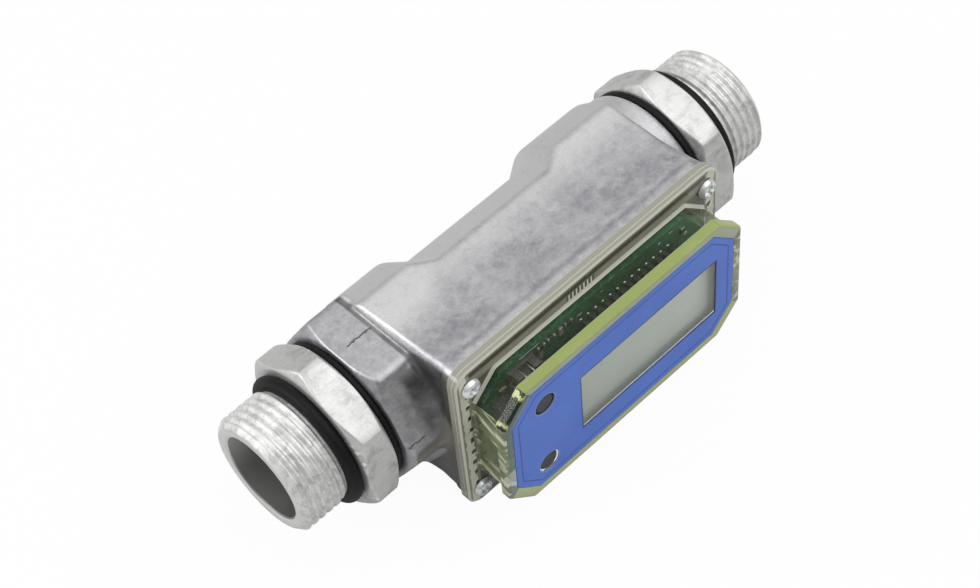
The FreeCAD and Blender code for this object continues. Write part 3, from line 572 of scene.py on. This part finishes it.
def about_pipe(profile_at, count):
    """Loops of a closed (x, radius) profile carried round the pipe axis; profile_at takes the angle."""
    loops = []
    for step in range(count):
        angle = math.tau * step / count
        loops.append([(x, r * math.cos(angle), r * math.sin(angle)) for x, r in profile_at(angle)])
    return loops


def octagon(half_x, half_z, corner, radius, steps=4):
    """Loop of (x, z) points round the display centre, with its eight corners rounded."""
    flat_x, flat_z = half_x - corner, half_z - corner
    tips = [(half_x, -flat_z), (half_x, flat_z), (flat_x, half_z), (-flat_x, half_z),
            (-half_x, flat_z), (-half_x, -flat_z), (-flat_x, -half_z), (flat_x, -half_z)]
    reach = radius / math.cos(math.pi / 8)
    loop = []
    for index, (x, z) in enumerate(tips):
        middle = math.pi / 4 * (index - 0.5)
        cx, cz = x - reach * math.cos(middle), z - reach * math.sin(middle)
        for step in range(steps + 1):
            angle = middle + math.pi / 4 * (step / steps - 0.5)
            loop.append((DISPLAY_X + cx + radius * math.cos(angle), cz + radius * math.sin(angle)))
    return loop


def inset(shape, depth):
    """Octagon (half_x, half_z, corner, radius) moved inward by a depth."""
    half_x, half_z, corner, radius = shape
    return (half_x - depth, half_z - depth, corner - depth * (2 - math.sqrt(2)),
            max(radius - depth, 0.15))


def level(y, shape):
    """Octagon as a loop of points at one depth."""
    return [(x, y, z) for x, z in octagon(*shape)]


def circle(x, z, y, radius, steps=48):
    angles = [math.tau * step / steps for step in range(steps)]
    return [(x + radius * math.cos(a), y, z + radius * math.sin(a)) for a in angles]


def rounded(profile, radius, steps=3):
    """Open polyline with each inner corner replaced by a small arc-like curve."""
    result = [profile[0]]
    for before, here, after in zip(profile, profile[1:], profile[2:]):
        a, b, c = Vector(before), Vector(here), Vector(after)
        cut = min(radius, (b - a).length * 0.45, (c - b).length * 0.45)
        start, end = b + (a - b).normalized() * cut, b + (c - b).normalized() * cut
        for step in range(steps + 1):
            t = step / steps
            result.append(tuple(start * (1 - t) ** 2 + b * 2 * t * (1 - t) + end * t ** 2))
    result.append(profile[-1])
    return result


def turned_y(bm, x, z, profile, steps, material=None):
    """Surface of revolution about a line along Y from (y, radius) points, closed at both ends."""
    rings = skin_loops(bm, [circle(x, z, y, radius, steps) for y, radius in profile], material=material)
    for ring in (rings[0], rings[-1]):
        bm.faces.new(ring)


def block(bm, low, high, bevel=0.0, material=0):
    """Block with bevelled edges."""
    size = Vector(high) - Vector(low)
    middle = (Vector(high) + Vector(low)) / 2
    place = Matrix.Translation(middle) @ Matrix.Diagonal((*size, 1.0))
    made = bmesh.ops.create_cube(bm, size=1.0, matrix=place)
    faces = {face for vert in made["verts"] for face in vert.link_faces}
    for face in faces:
        face.material_index = material
    if bevel:
        edges = list({edge for face in faces for edge in face.edges})
        bmesh.ops.bevel(bm, geom=edges, offset=bevel, segments=2, affect="EDGES", profile=0.6,
                        material=material)


# ---- casting ----
def pad_flare(bm, side):
    """Wedge that carries the casting's top or bottom out to the pad's edge without a step."""
    sections = [(-43.3, 2.2), (-42.6, 0.9), (-41.4, 0.0), (41.4, 0.0), (42.6, 0.9), (43.3, 2.2)]
    root_z = 20.5
    profile = [(-9.0, 24.3), (-16.0, 25.2), (-21.0, 26.1), (-25.9, 26.78), (-25.9, root_z), (-9.0, root_z)]
    capped_loft(bm, [[(DISPLAY_X + x, y, side * (z - drop * (z > root_z))) for y, z in profile]
                     for x, drop in sections])


def end_fillet(bm):
    """Concave blend from the front and lower flats of the inlet hexagon into the end of the block."""
    fillet_r, root_r = 6.0, 18.5
    flat_r, corner_r = 21.5, 24.5
    reach_y, reach_z = 25.6, 24.2
    rows = 8
    loops = []
    for row in range(rows + 1):
        along = fillet_r * row / rows
        x = BLOCK_END_X - fillet_r + along
        lift = fillet_r - math.sqrt(fillet_r ** 2 - along ** 2) - 0.1
        outer, inner = [], []
        for degrees in range(125, 252, 6):
            angle = math.radians(degrees)
            y, z = math.cos(angle), math.sin(angle)
            off = angle % (math.pi / 3) - math.pi / 6
            share = unit(min((degrees - 120) / 30, (252 - degrees) / 18))
            r = min(flat_r / math.cos(off), corner_r) + lift * share
            r = min(r, reach_y / max(abs(y), 0.01), reach_z / max(abs(z), 0.01))
            outer.append((x, r * y, r * z))
            inner.append((x, root_r * y, root_r * z))
        loops.append(outer + inner[::-1])
    capped_loft(bm, loops)


def casting_skin():
    """The CAD casting with its edges and inside corners rounded as a die leaves them."""
    bm = bmesh.new()
    bm.from_mesh(nodes["body_casting"].data)
    bmesh.ops.scale(bm, vec=[1 / MM] * 3, verts=bm.verts)
    for side in (-1, 1):
        pad_flare(bm, side)
    end_fillet(bm)
    # The pad reaches forward through the remesh, and is cut off square below, so its edge stays sharp.
    for vert in bm.verts:
        if vert.co.y < PAD_Y + 0.1:
            vert.co.y = PAD_Y - 3.0
    bmesh.ops.scale(bm, vec=[MM] * 3, verts=bm.verts)
    mesh = bpy.data.meshes.new("casting_rough")
    bm.to_mesh(mesh)
    bm.free()
    rough = new_object("casting_rough", mesh)
    remesh = rough.modifiers.new("remesh", "REMESH")
    remesh.mode = "VOXEL"
    remesh.voxel_size = 0.45 * MM
    smooth = rough.modifiers.new("smooth", "SMOOTH")
    smooth.factor = 0.5
    smooth.iterations = 14
    thin = rough.modifiers.new("thin", "DECIMATE")
    thin.ratio = 0.35
    depsgraph = bpy.context.evaluated_depsgraph_get()
    mesh = bpy.data.meshes.new_from_object(rough.evaluated_get(depsgraph))
    bpy.data.objects.remove(rough)
    mesh.name = "casting_skin"
    mesh.materials.clear()
    mesh.transform(Matrix.Scale(1 / MM, 4))
    bm = bmesh.new()
    bm.from_mesh(mesh)
    cut = bmesh.ops.bisect_plane(bm, geom=bm.verts[:] + bm.edges[:] + bm.faces[:], plane_co=(0, PAD_Y, 0),
                                 plane_no=(0, -1, 0), clear_outer=True)["geom_cut"]
    rim = [edge for edge in cut if isinstance(edge, bmesh.types.BMEdge)]
    bmesh.ops.triangle_fill(bm, use_beauty=True, edges=rim)
    bm.to_mesh(mesh)
    bm.free()
    add_piece("casting_skin", mesh, "cast_body", stands_for=["body_casting"], sharp=60)


# ---- adapters ----
THREAD_PITCH = 25.4 / 11
CREST_R = 16.62
ROOT_R = 15.85
RELIEF_R = 15.7
BORE_R = 12.1
HEX_FLAT_R = 20.5
HEX_CORNER_R = 22.85
NUT_CHAMFER = math.radians(30)
THREAD_ROWS = [0.45 + 0.11 * row for row in range(114)]


def hexagon_radius(angle, corner):
    """Distance from the axis to a hexagon with softly turned corners; corner in degrees."""
    off = (angle - math.radians(corner) + math.pi / 6) % (math.pi / 3) - math.pi / 6
    flat = HEX_FLAT_R / math.cos(math.pi / 6 - abs(off))
    soft = 0.7
    return -soft * math.log(math.exp(-flat / soft) + math.exp(-HEX_CORNER_R / soft))


def thread_radius(x, angle, hand):
    """Shallow worn thread with rounded crests that fades in over the end bevel and out at the relief."""
    turn = (x / THREAD_PITCH - hand * angle / math.tau) % 1.0
    slope = abs(2 * turn - 1)
    height = unit((slope - 0.14) / 0.68)
    height = height * height * (3 - 2 * height)
    radius = ROOT_R + (CREST_R - ROOT_R) * height
    entry = 15.1 + max(x - 0.15, 0.0) * 1.1
    leave = unit((x - 12.1) / 0.8)
    return min(radius, entry) * (1 - leave) + RELIEF_R * leave


def adapter_profile(angle, corner, hand):
    """Closed (x, radius) profile of an adapter at an angle; x runs from the open end inward."""
    hex_x, seal_x, end_x = PORT_SEAL[1].x, BODY_SEAL[0].x, ADAPTER[1].x
    hexagon = hexagon_radius(angle, corner)
    land = HEX_FLAT_R - 0.35
    lead = max(hexagon - land, 0.2) * math.tan(NUT_CHAMFER)
    profile = [(end_x, BORE_R), (0.5, BORE_R), (0.12, 12.45), (0.0, 12.7), (0.0, 14.9), (0.1, 15.1)]
    profile += [(x, thread_radius(x, angle, hand)) for x in THREAD_ROWS]
    nut = [(hex_x - 0.1, RELIEF_R), (hex_x, RELIEF_R + 0.1), (hex_x, land), (hex_x + lead, hexagon),
           (seal_x - lead, hexagon), (seal_x, land), (seal_x, CREST_R)]
    return profile + rounded(nut, 0.55, 4) + [(end_x - 0.6, CREST_R), (end_x, CREST_R - 0.6)]


def turned_adapter(node, corner, hand, flip):
    """Adapter with its thread, nut and bore; flip turns it round for the outlet."""
    name = node + "_turned"
    bm = bmesh.new()
    skin_loops(bm, about_pipe(lambda angle: adapter_profile(angle, corner, hand), 360), closed=True)
    mesh = mesh_from(name, bm)
    if flip:
        mesh.transform(Matrix.Translation((LENGTH, 0, 0)) @ Matrix.Diagonal((-1, 1, 1, 1)))
        mesh.flip_normals()
    add_piece(name, mesh, "adapter_metal", stands_for=[node], sharp=28)


def seal_ring(node, outer, inner, bulge):
    """Rubber ring about the pipe axis with a rounded rim, pressed flat at its sides."""
    low, high = box_of(node)
    x0, x1 = low.x, high.x
    edge = (x1 - x0) * 0.36
    profile = rounded([(x0, inner + 0.02), (x0, outer - edge), (x0 + edge * 0.5, outer - bulge * 0.3),
                       ((x0 + x1) / 2, outer - 0.02), (x1 - edge * 0.5, outer - bulge * 0.3),
                       (x1, outer - edge), (x1, inner + 0.02)], 0.8)
    bm = bmesh.new()
    skin_loops(bm, about_pipe(lambda angle: profile, 128), closed=True)
    add_shell(node + "_ring", bm, "seal_rubber", stands_for=[node], sharp=50)


# ---- cover ----
# Octagons: half length, half height, corner cut and corner radius.
FLANGE = (44.6, 27.3, 2.636, 4.5)
WALL = (39.9, 21.2, 7.5, 1.2)
LIP = (41.2, 22.7, 8.0, 1.6)
RECESS = (38.4, 20.05, 7.4, 0.5)
LABEL_EDGE = (38.25, 19.9, 7.3, 0.5)
FLANGE_Y = -29.2
LIP_Y = -37.6
CEILING_Y = -38.0
LABEL_FRONT_Y, LABEL_BACK_Y = LABEL[0].y, LABEL[1].y
CORNER_Z = 14.3
BUTTON_HOLE_R = 3.3
BUTTONS = {"upper_button": (DISPLAY_X - 27.5, 11.8), "lower_button": (DISPLAY_X - 27.5, -12.7)}
CLEAR, LIPPED, RIMMED, FLANGED, EDGE_HIGHLIGHT, END, FACED, OPEN_LIP, OPEN_RIM, LOW_RIM = range(10)


def cover_kind(kind, middle):
    """Material index for a cover face, from the index of its strip and the face's middle."""
    rim_end_x, wall_end_x, wall_end_z = 38.2, 39.6, 15.5
    out = middle.x - DISPLAY_X
    upper_left = out < -33.3 and middle.z > -CORNER_Z
    if middle.y > FLANGE_Y - 0.1:
        return kind
    if kind == RIMMED:
        if middle.z < -CORNER_Z:
            return LOW_RIM
        if upper_left:
            return OPEN_RIM
        return END if out > rim_end_x else kind
    if middle.y < LIP_Y + 0.35 and upper_left and middle.z > 14.5:
        return OPEN_LIP
    return END if abs(out) > wall_end_x and abs(middle.z) < wall_end_z else kind


def cover_shell():
    """Flange, walls, lip and face of the clear cover as one closed shell."""
    cavity = inset(WALL, 2.0)
    # The thin pale edge strips are painted highlights along the cover's edges and bevels.
    strips = [
        (CEILING_Y, cavity, CLEAR),
        (PAD_Y, cavity, CLEAR), (PAD_Y, inset(FLANGE, 0.35), EDGE_HIGHLIGHT), (PAD_Y - 0.35, FLANGE, FLANGED),
        (FLANGE_Y + 1.5, FLANGE, EDGE_HIGHLIGHT), (FLANGE_Y + 1.3, FLANGE, FLANGED),
        (FLANGE_Y + 0.45, FLANGE, EDGE_HIGHLIGHT), (FLANGE_Y, inset(FLANGE, 0.5), FACED),
        (FLANGE_Y, inset(WALL, -0.8), EDGE_HIGHLIGHT), (FLANGE_Y - 0.25, inset(WALL, -0.3), EDGE_HIGHLIGHT),
        (FLANGE_Y - 0.7, WALL, CLEAR), (LIP_Y + 0.3, WALL, EDGE_HIGHLIGHT), (LIP_Y, inset(WALL, -0.35), EDGE_HIGHLIGHT),
        (LIP_Y, inset(LIP, 0.25), EDGE_HIGHLIGHT), (LIP_Y - 0.25, LIP, LIPPED), (FACE_Y + 0.6, LIP, LIPPED),
        (FACE_Y + 0.15, inset(LIP, 0.3), LIPPED), (FACE_Y, inset(LIP, 0.8), RIMMED),
        (FACE_Y, inset(RECESS, -0.2), RIMMED), (FACE_Y + 0.1, RECESS, RIMMED), (LABEL_BACK_Y, RECESS, CLEAR)]
    bm = bmesh.new()
    rings = skin_loops(bm, [level(y, shape) for y, shape, _ in strips], material=[s[2] for s in strips])
    for face in bm.faces:
        face.material_index = cover_kind(face.material_index, face.calc_center_median())
    holes = [skin_loops(bm, [circle(x, z, y, BUTTON_HOLE_R) for y in (LABEL_BACK_Y, CEILING_Y)])
             for x, z in BUTTONS.values()]
    for rim, side in ((rings[-1], 0), (rings[0], 1)):
        loops = [rim] + [pair[side] for pair in holes]
        edges = []
        for loop in loops:
            for one, other in zip(loop, loop[1:] + loop[:1]):
                edges.append(bm.edges.get((one, other)) or bm.edges.new((one, other)))
        bmesh.ops.triangle_fill(bm, use_beauty=True, use_dissolve=False, edges=edges)
    materials = [MATERIALS["clear_plastic"]]
    materials += [EXTRAS[name] for name in ("lip", "rim", "flange", "edge", "end_wall", "flange_face",
                                            "open_corner", "open_rim", "low_rim")]
    add_shell("cover_shell", bm, "clear_plastic", stands_for=["clear_cover"], materials=materials, sharp=30)


def label_lines():
    """Printed border line of the label, a thin raised octagon."""
    margin, width = 1.7, 0.35
    back, front = LABEL_FRONT_Y + 0.01, LABEL_FRONT_Y - 0.02
    outer = inset(LABEL_EDGE, margin)
    inner = inset(outer, width)
    bm = bmesh.new()
    skin_loops(bm, [level(back, outer), level(front, outer), level(front, inner), level(back, inner)],
               closed=True)
    add_shell("label_border_line", bm, "label_print", materials=[EXTRAS["border"]])


def window_trim():
    """Dark printed edge round the display opening, and a pale bezel behind it."""
    x0, x1, z0, z1 = WINDOW[0].x, WINDOW[1].x, WINDOW[0].z, WINDOW[1].z
    edge, left, right, low = 0.3, 0.6, 2.6, 4.2
    bm = bmesh.new()
    for xa, za, xb, zb in ((x0 - edge, z0 - edge, x1 + edge, z0), (x0 - edge, z1, x1 + edge, z1 + edge),
                           (x0 - edge, z0, x0, z1), (x1, z0, x1 + edge, z1)):
        block(bm, (xa, LABEL_FRONT_Y - 0.01, za), (xb, LABEL_BACK_Y, zb))
    for xa, za, xb, zb in ((x0 - left, z0 - low, x1 + right, z0), (x1, z0, x1 + right, z1)):
        block(bm, (xa, CEILING_Y + 0.02, za), (xb, LCD[0].y - 0.02, zb), material=1)
    add_shell("window_trim", bm, "label_print", materials=[EXTRAS["frame"], EXTRAS["bezel"]])


def button_rims():
    """Pale cut edge of the label round each button."""
    inner, outer = 3.24, 3.45
    back, front = LABEL_BACK_Y + 0.01, LABEL_FRONT_Y - 0.01
    profile = [(back, inner), (back, outer), (front, outer), (front, inner)]
    bm = bmesh.new()
    for x, z in BUTTONS.values():
        skin_loops(bm, [circle(x, z, y, radius) for y, radius in profile], closed=True)
    add_shell("button_hole_rims", bm, "label_print", materials=[EXTRAS["hole_rim"]])


def button(name):
    """Round rubbery key with a softly dished front, its keeper flange and pusher."""
    x, z = BUTTONS[name]
    key_r, keeper_half, pusher_half = 2.93, 3.9, 1.3
    front, back = FACE_Y + 0.25, CEILING_Y
    profile = [(back, key_r), (front + 0.75, key_r), (front + 0.3, 2.85), (front + 0.08, 2.62),
               (front, 2.3), (front + 0.04, 1.7), (front + 0.12, 0.9), (front + 0.16, 0.05)]
    bm = bmesh.new()
    turned_y(bm, x, z, profile, 56)
    pusher_y, end_y = back + 0.9, box_of(name)[1].y
    for half, start, end, bevel in ((keeper_half, back + 0.02, pusher_y, 0.15),
                                    (pusher_half, pusher_y, end_y, 0.1)):
        block(bm, (x - half, start, z - half), (x + half, end, z + half), bevel)
    body = name.replace("button", "key")
    add_piece(name + "_cap", mesh_from(name, bm), "button_plastic", body=body, stands_for=[name], sharp=50)


# ---- screws ----
SCREW_X, SCREW_Z = 40.3, 21.2
HEAD_R = 2.7
SHANK_R, THREAD_ROOT_R = 1.48, 1.22


def screw_head_height(x, z):
    """Pan head: crowned, rounded at its rim, with a cross recess."""
    head_height, recess_depth, arm_half, arm_reach = 1.9, 0.85, 0.62, 1.75
    r = min(math.hypot(x, z) / HEAD_R, 1.0)
    crown = head_height * (1 - 0.18 * r * r) * math.sqrt(max(1 - r ** 7, 0.0))
    arm = unit((arm_half - min(abs(x), abs(z))) / 0.3)
    reach = unit((arm_reach - max(abs(x), abs(z))) / 0.35)
    return crown - recess_depth * min(arm, reach)


def cover_screw(bm, x, z, turn):
    """One screw: head standing on the flange, threaded shank behind it."""
    last_ring, points = 27, 72
    loops = []
    for step in range(last_ring + 1):
        radius = (HEAD_R - 0.02) * (1 - ((last_ring - step) / last_ring) ** 1.6) + 0.01
        loop = []
        for index in range(points):
            angle = math.tau * index / points
            u, v = radius * math.cos(angle), radius * math.sin(angle)
            a, b = (u * math.cos(turn) - v * math.sin(turn), u * math.sin(turn) + v * math.cos(turn))
            loop.append((x + u, FLANGE_Y - max(screw_head_height(a, b), 0.0), z + v))
        loops.append(loop)
    rings = skin_loops(bm, loops)
    bm.faces.new(rings[0])
    bm.faces.new(rings[-1])
    tip_y = box_of("cover_screws")[1].y
    profile = [(FLANGE_Y + 0.01, SHANK_R)]
    pitch, y = 0.6, FLANGE_Y + 1.0
    while y < tip_y - 1.2:
        profile += [(y, SHANK_R), (y + 0.25, THREAD_ROOT_R), (y + 0.5, SHANK_R)]
        y += pitch
    profile += [(tip_y - 0.5, 1.2), (tip_y, 0.6)]
    turned_y(bm, x, z, profile, 24)


def cover_screws():
    """Four screws, each with its recess turned its own way."""
    bm = bmesh.new()
    for sx, sz, turn in ((-1, -1, 0.3), (-1, 1, 1.0), (1, -1, 0.7), (1, 1, 0.1)):
        cover_screw(bm, DISPLAY_X + sx * SCREW_X, sz * SCREW_Z, turn)
    add_shell("cover_screw_set", bm, "screw_steel", stands_for=["cover_screws"], sharp=40)


# ---- board ----
PIN_PITCH = 2.54
PIN_XS = [DISPLAY_X + 10.2 + PIN_PITCH * (index - 6) for index in range(13)]
PIN_ROWS = ((PINS[1].z - 0.25, 1), (PINS[0].z + 0.25, -1))  # height, and the way out from the glass


def board_dressing():
    """Small parts, solder joints and plain print on the front of the board."""
    front = BOARD[0].y
    bm = bmesh.new()
    solder, silk, resistor, ceramic = range(4)
    length, width, height, cap = 2.0, 1.25, 0.55, 0.28

    def small_part(x, z, body, upright):
        half_x, half_z = (width / 2, length / 2) if upright else (length / 2, width / 2)
        cap_x, cap_z = (0, cap) if upright else (cap, 0)
        block(bm, (x - half_x + cap_x, front - height, z - half_z + cap_z),
              (x + half_x - cap_x, front, z + half_z - cap_z), 0.05, body)
        for side in (-1, 1):
            u, v, half_u, half_v = x + side * half_x, z, 0.3, half_z
            if upright:
                u, v, half_u, half_v = x, z + side * half_z, half_x, 0.3
            block(bm, (u - half_u, front - height - 0.03, v - half_v), (u + half_u, front, v + half_v),
                  0.08, solder)

    for dx, z, upright, body in ((-18.6, 16.2, False, resistor), (-15.2, 16.4, False, resistor),
                                 (-19.0, 13.4, True, ceramic), (-12.0, 16.0, True, ceramic),
                                 (-9.4, 16.7, False, resistor), (30.4, 14.6, True, resistor),
                                 (-33.5, 1.5, True, ceramic), (-34.2, -3.4, True, resistor),
                                 (-32.0, -8.4, False, resistor), (-31.6, 12.4, False, ceramic),
                                 (33.6, 4.0, True, resistor), (33.8, -5.0, True, ceramic)):
        small_part(DISPLAY_X + dx, z, body, upright)
    joint = [(front, 0.6), (front - 0.12, 0.55), (front - 0.4, 0.32), (front - 0.6, 0.28)]
    for row_z, _ in PIN_ROWS:
        for x in PIN_XS:
            turned_y(bm, x, row_z, joint, 16, [solder] * 3)
    for dx, z, radius in ((31.9, 12.2, 0.55), (-22.0, 12.2, 0.4), (-35.0, 5.0, 0.45), (22.5, 16.8, 0.35)):
        dot = [(front, radius), (front - 0.1, radius), (front - 0.14, radius * 0.6)]
        turned_y(bm, DISPLAY_X + dx, z, dot, 20, [silk] * 2)
    for dx, z, reach in ((-6.0, 15.5, 1.6), (-25.5, 17.9, 6.5), (2.0, 17.3, 0.9), (26.0, 17.3, 1.2)):
        block(bm, (DISPLAY_X + dx, front - 0.04, z), (DISPLAY_X + dx + reach, front, z + 0.18), 0, silk)
    materials = [EXTRAS[name] for name in ("solder", "silk", "resistor", "ceramic")]
    add_shell("board_dressing", bm, "board_green", materials=materials)


def display_pins():
    """Edge pins of the display: a clip at the glass, a thick dark leg that is partly the pin and partly
    painted shade for its shadow, and a narrow end down into the board.
    """
    bm = bmesh.new()
    top, foot, board = PINS[0].y, PINS[1].y, BOARD[0].y
    for z, out in PIN_ROWS:
        low_z, high_z = sorted((z - 0.45 * out, z + 1.1 * out))
        for x in PIN_XS:
            block(bm, (x - 0.6, top, z - 0.24), (x + 0.6, top + 2.0, z + 0.24), 0.08)
            # Thick leg: partly the pin, partly painted shade for the pin's shadow.
            block(bm, (x - 0.75, top + 1.9, low_z), (x + 0.75, board - 0.6, high_z), 0.2)
            block(bm, (x - 0.3, board - 0.8, z - 0.2), (x + 0.3, board + 0.1, z + 0.2), 0.05)
            block(bm, (x - 0.25, board, z - 0.2), (x + 0.25, foot, z + 0.2), 0.04)
    add_shell("display_pins", bm, "tinned_pins", stands_for=["lcd_pins"])


def power_plug():
    """Shrouded battery connector: an open box with a keyed wall and two contacts."""
    low, high = box_of("battery_connector")
    wall, lug, base_y = 0.45, 2.6, high.y - 0.9
    bm = bmesh.new()
    block(bm, (low.x, high.y - 1.0, low.z), high, 0.12)
    for start, end in ((low, (low.x + wall, base_y, high.z)),
                       ((high.x - wall, low.y, low.z), (high.x, base_y, high.z)),
                       (low, (high.x, base_y, low.z + wall)),
                       ((low.x, low.y + 0.5, high.z - wall), (low.x + lug, base_y, high.z)),
                       ((high.x - lug, low.y + 0.5, high.z - wall), (high.x, base_y, high.z))):
        block(bm, start, end, 0.1)
    z = (low.z + high.z) / 2
    for share in (0.33, 0.67):
        x = low.x + (high.x - low.x) * share
        block(bm, (x - 0.3, low.y + 0.6, z - 0.3), (x + 0.3, base_y, z + 0.3), 0.08, 1)
    add_shell("battery_plug", bm, "connector_plastic", stands_for=["battery_connector"],
              materials=[MATERIALS["connector_plastic"], EXTRAS["solder"]])


# ---- camera, stage and light ----
def place_camera():
    """Camera above the inlet end, in front of the display, tipped a little."""
    azimuth, elevation, roll = math.radians(-39.61), math.radians(53.0), math.radians(-6.22)
    distance, aim_left, aim_up = 549.64, 33.26, 16.63
    back = Vector((math.sin(azimuth) * math.cos(elevation),
                   -math.cos(azimuth) * math.cos(elevation), math.sin(elevation)))
    level_right = (-back).cross(Vector((0, 0, 1))).normalized()
    upward = level_right.cross(-back)
    right = level_right * math.cos(roll) + upward * math.sin(roll)
    up = upward * math.cos(roll) - level_right * math.sin(roll)
    aim = Vector((DISPLAY_X, FACE_Y, 0)) - right * aim_left + up * aim_up
    camera = new_object("camera", bpy.data.cameras.new("camera"))
    camera.data.lens = 83.24
    camera.data.sensor_width = 36.0
    turn = Matrix((right, up, back)).transposed().to_4x4()
    camera.matrix_world = Matrix.Translation((aim + back * distance) * MM) @ turn
    bpy.context.scene.camera = camera


def add_softbox(name, place, target, size, power):
    """Square lamp of a size in metres, aimed at a target."""
    lamp = new_object(name, bpy.data.lights.new(name, "AREA"))
    lamp.data.shape = "RECTANGLE"
    lamp.data.size = lamp.data.size_y = size
    lamp.data.energy = power
    lamp.location = place
    lamp.rotation_euler = (Vector(target) - Vector(place)).to_track_quat("-Z", "Y").to_euler()


def studio_share(made, glossy):
    """1 where the eye or clear plastic looks straight at the studio, less in reflections."""
    rays = made.node("ShaderNodeLightPath").outputs
    share = made.times(rays["Is Glossy Ray"], glossy)
    for ray in ("Is Camera Ray", "Is Transmission Ray"):
        share = made.math("MAXIMUM", share, rays[ray])
    return share


def build_world():
    """White studio seen directly; in reflections bright overhead and behind, dark in front."""
    world = bpy.data.worlds.new("studio")
    bpy.context.scene.world = world
    world.use_nodes = True
    made = Nodes(world.node_tree)
    _, y, z = made.split(made.node("ShaderNodeTexCoord").outputs["Generated"])
    overhead = made.smooth(z, 0.1, 0.95, 0.03, 0.58)
    behind = made.smooth(y, -0.5, 0.5, 0.02, 0.30)
    seen = studio_share(made, made.math("ADD", overhead, behind))
    diffuse = made.times(made.node("ShaderNodeLightPath").outputs["Is Diffuse Ray"], 0.75)
    background = made.tree.nodes["Background"]
    made.set(background, "Strength", made.math("MAXIMUM", seen, diffuse))
    made.set(background, "Color", (1, 1, 1, 1))


def build_floor():
    """Floor that the eye sees white under the object's shadow, and that sends little light back."""
    size = 3.0
    mesh = bpy.data.meshes.new("floor")
    corners = [(-size, -size, 0), (size, -size, 0), (size, size, 0), (-size, size, 0)]
    mesh.from_pydata(corners, [], [(0, 1, 2, 3)])
    floor = new_object("floor", mesh)
    floor.location = (LENGTH / 2 * MM, 0, cad_bounds[0][2] - 0.2 * MM)
    made = Shader("floor_white", (0.5, 0.5, 0.5), 0.9)
    glow = made.node("ShaderNodeEmission")
    made.set(glow, "Strength", 1.02)
    share = made.times(studio_share(made, 0.1), 0.94)
    mixed = made.node("ShaderNodeMixShader")
    for socket, value in enumerate((share, made.shader.outputs[0], glow.outputs[0])):
        made.set(mixed, socket, value)
    made.set(made.tree.nodes["Material Output"], "Surface", mixed.outputs[0])
    mesh.materials.append(made.material)


casting_skin()
turned_adapter("inlet_adapter", corner=25.0, hand=1, flip=False)
turned_adapter("outlet_adapter", corner=17.0, hand=-1, flip=True)
for end in ("inlet", "outlet"):
    seal_ring(f"{end}_body_seal", outer=20.1, inner=16.675, bulge=0.3)
    seal_ring(f"{end}_port_seal", outer=18.9, inner=15.7, bulge=1.0)
cover_shell()
label_lines()
window_trim()
button_rims()
for name in BUTTONS:
    button(name)
cover_screws()
board_dressing()
display_pins()
power_plug()

bpy.context.scene.view_settings.view_transform = "Standard"
place_camera()
build_world()
build_floor()
centre = (LENGTH / 2 * MM, -0.01, 0)
add_softbox("key", (0.42, -0.36, 0.85), centre, size=1.3, power=5.6)
add_softbox("edge", (-0.56, 0.38, 0.33), centre, size=0.3, power=2.0)
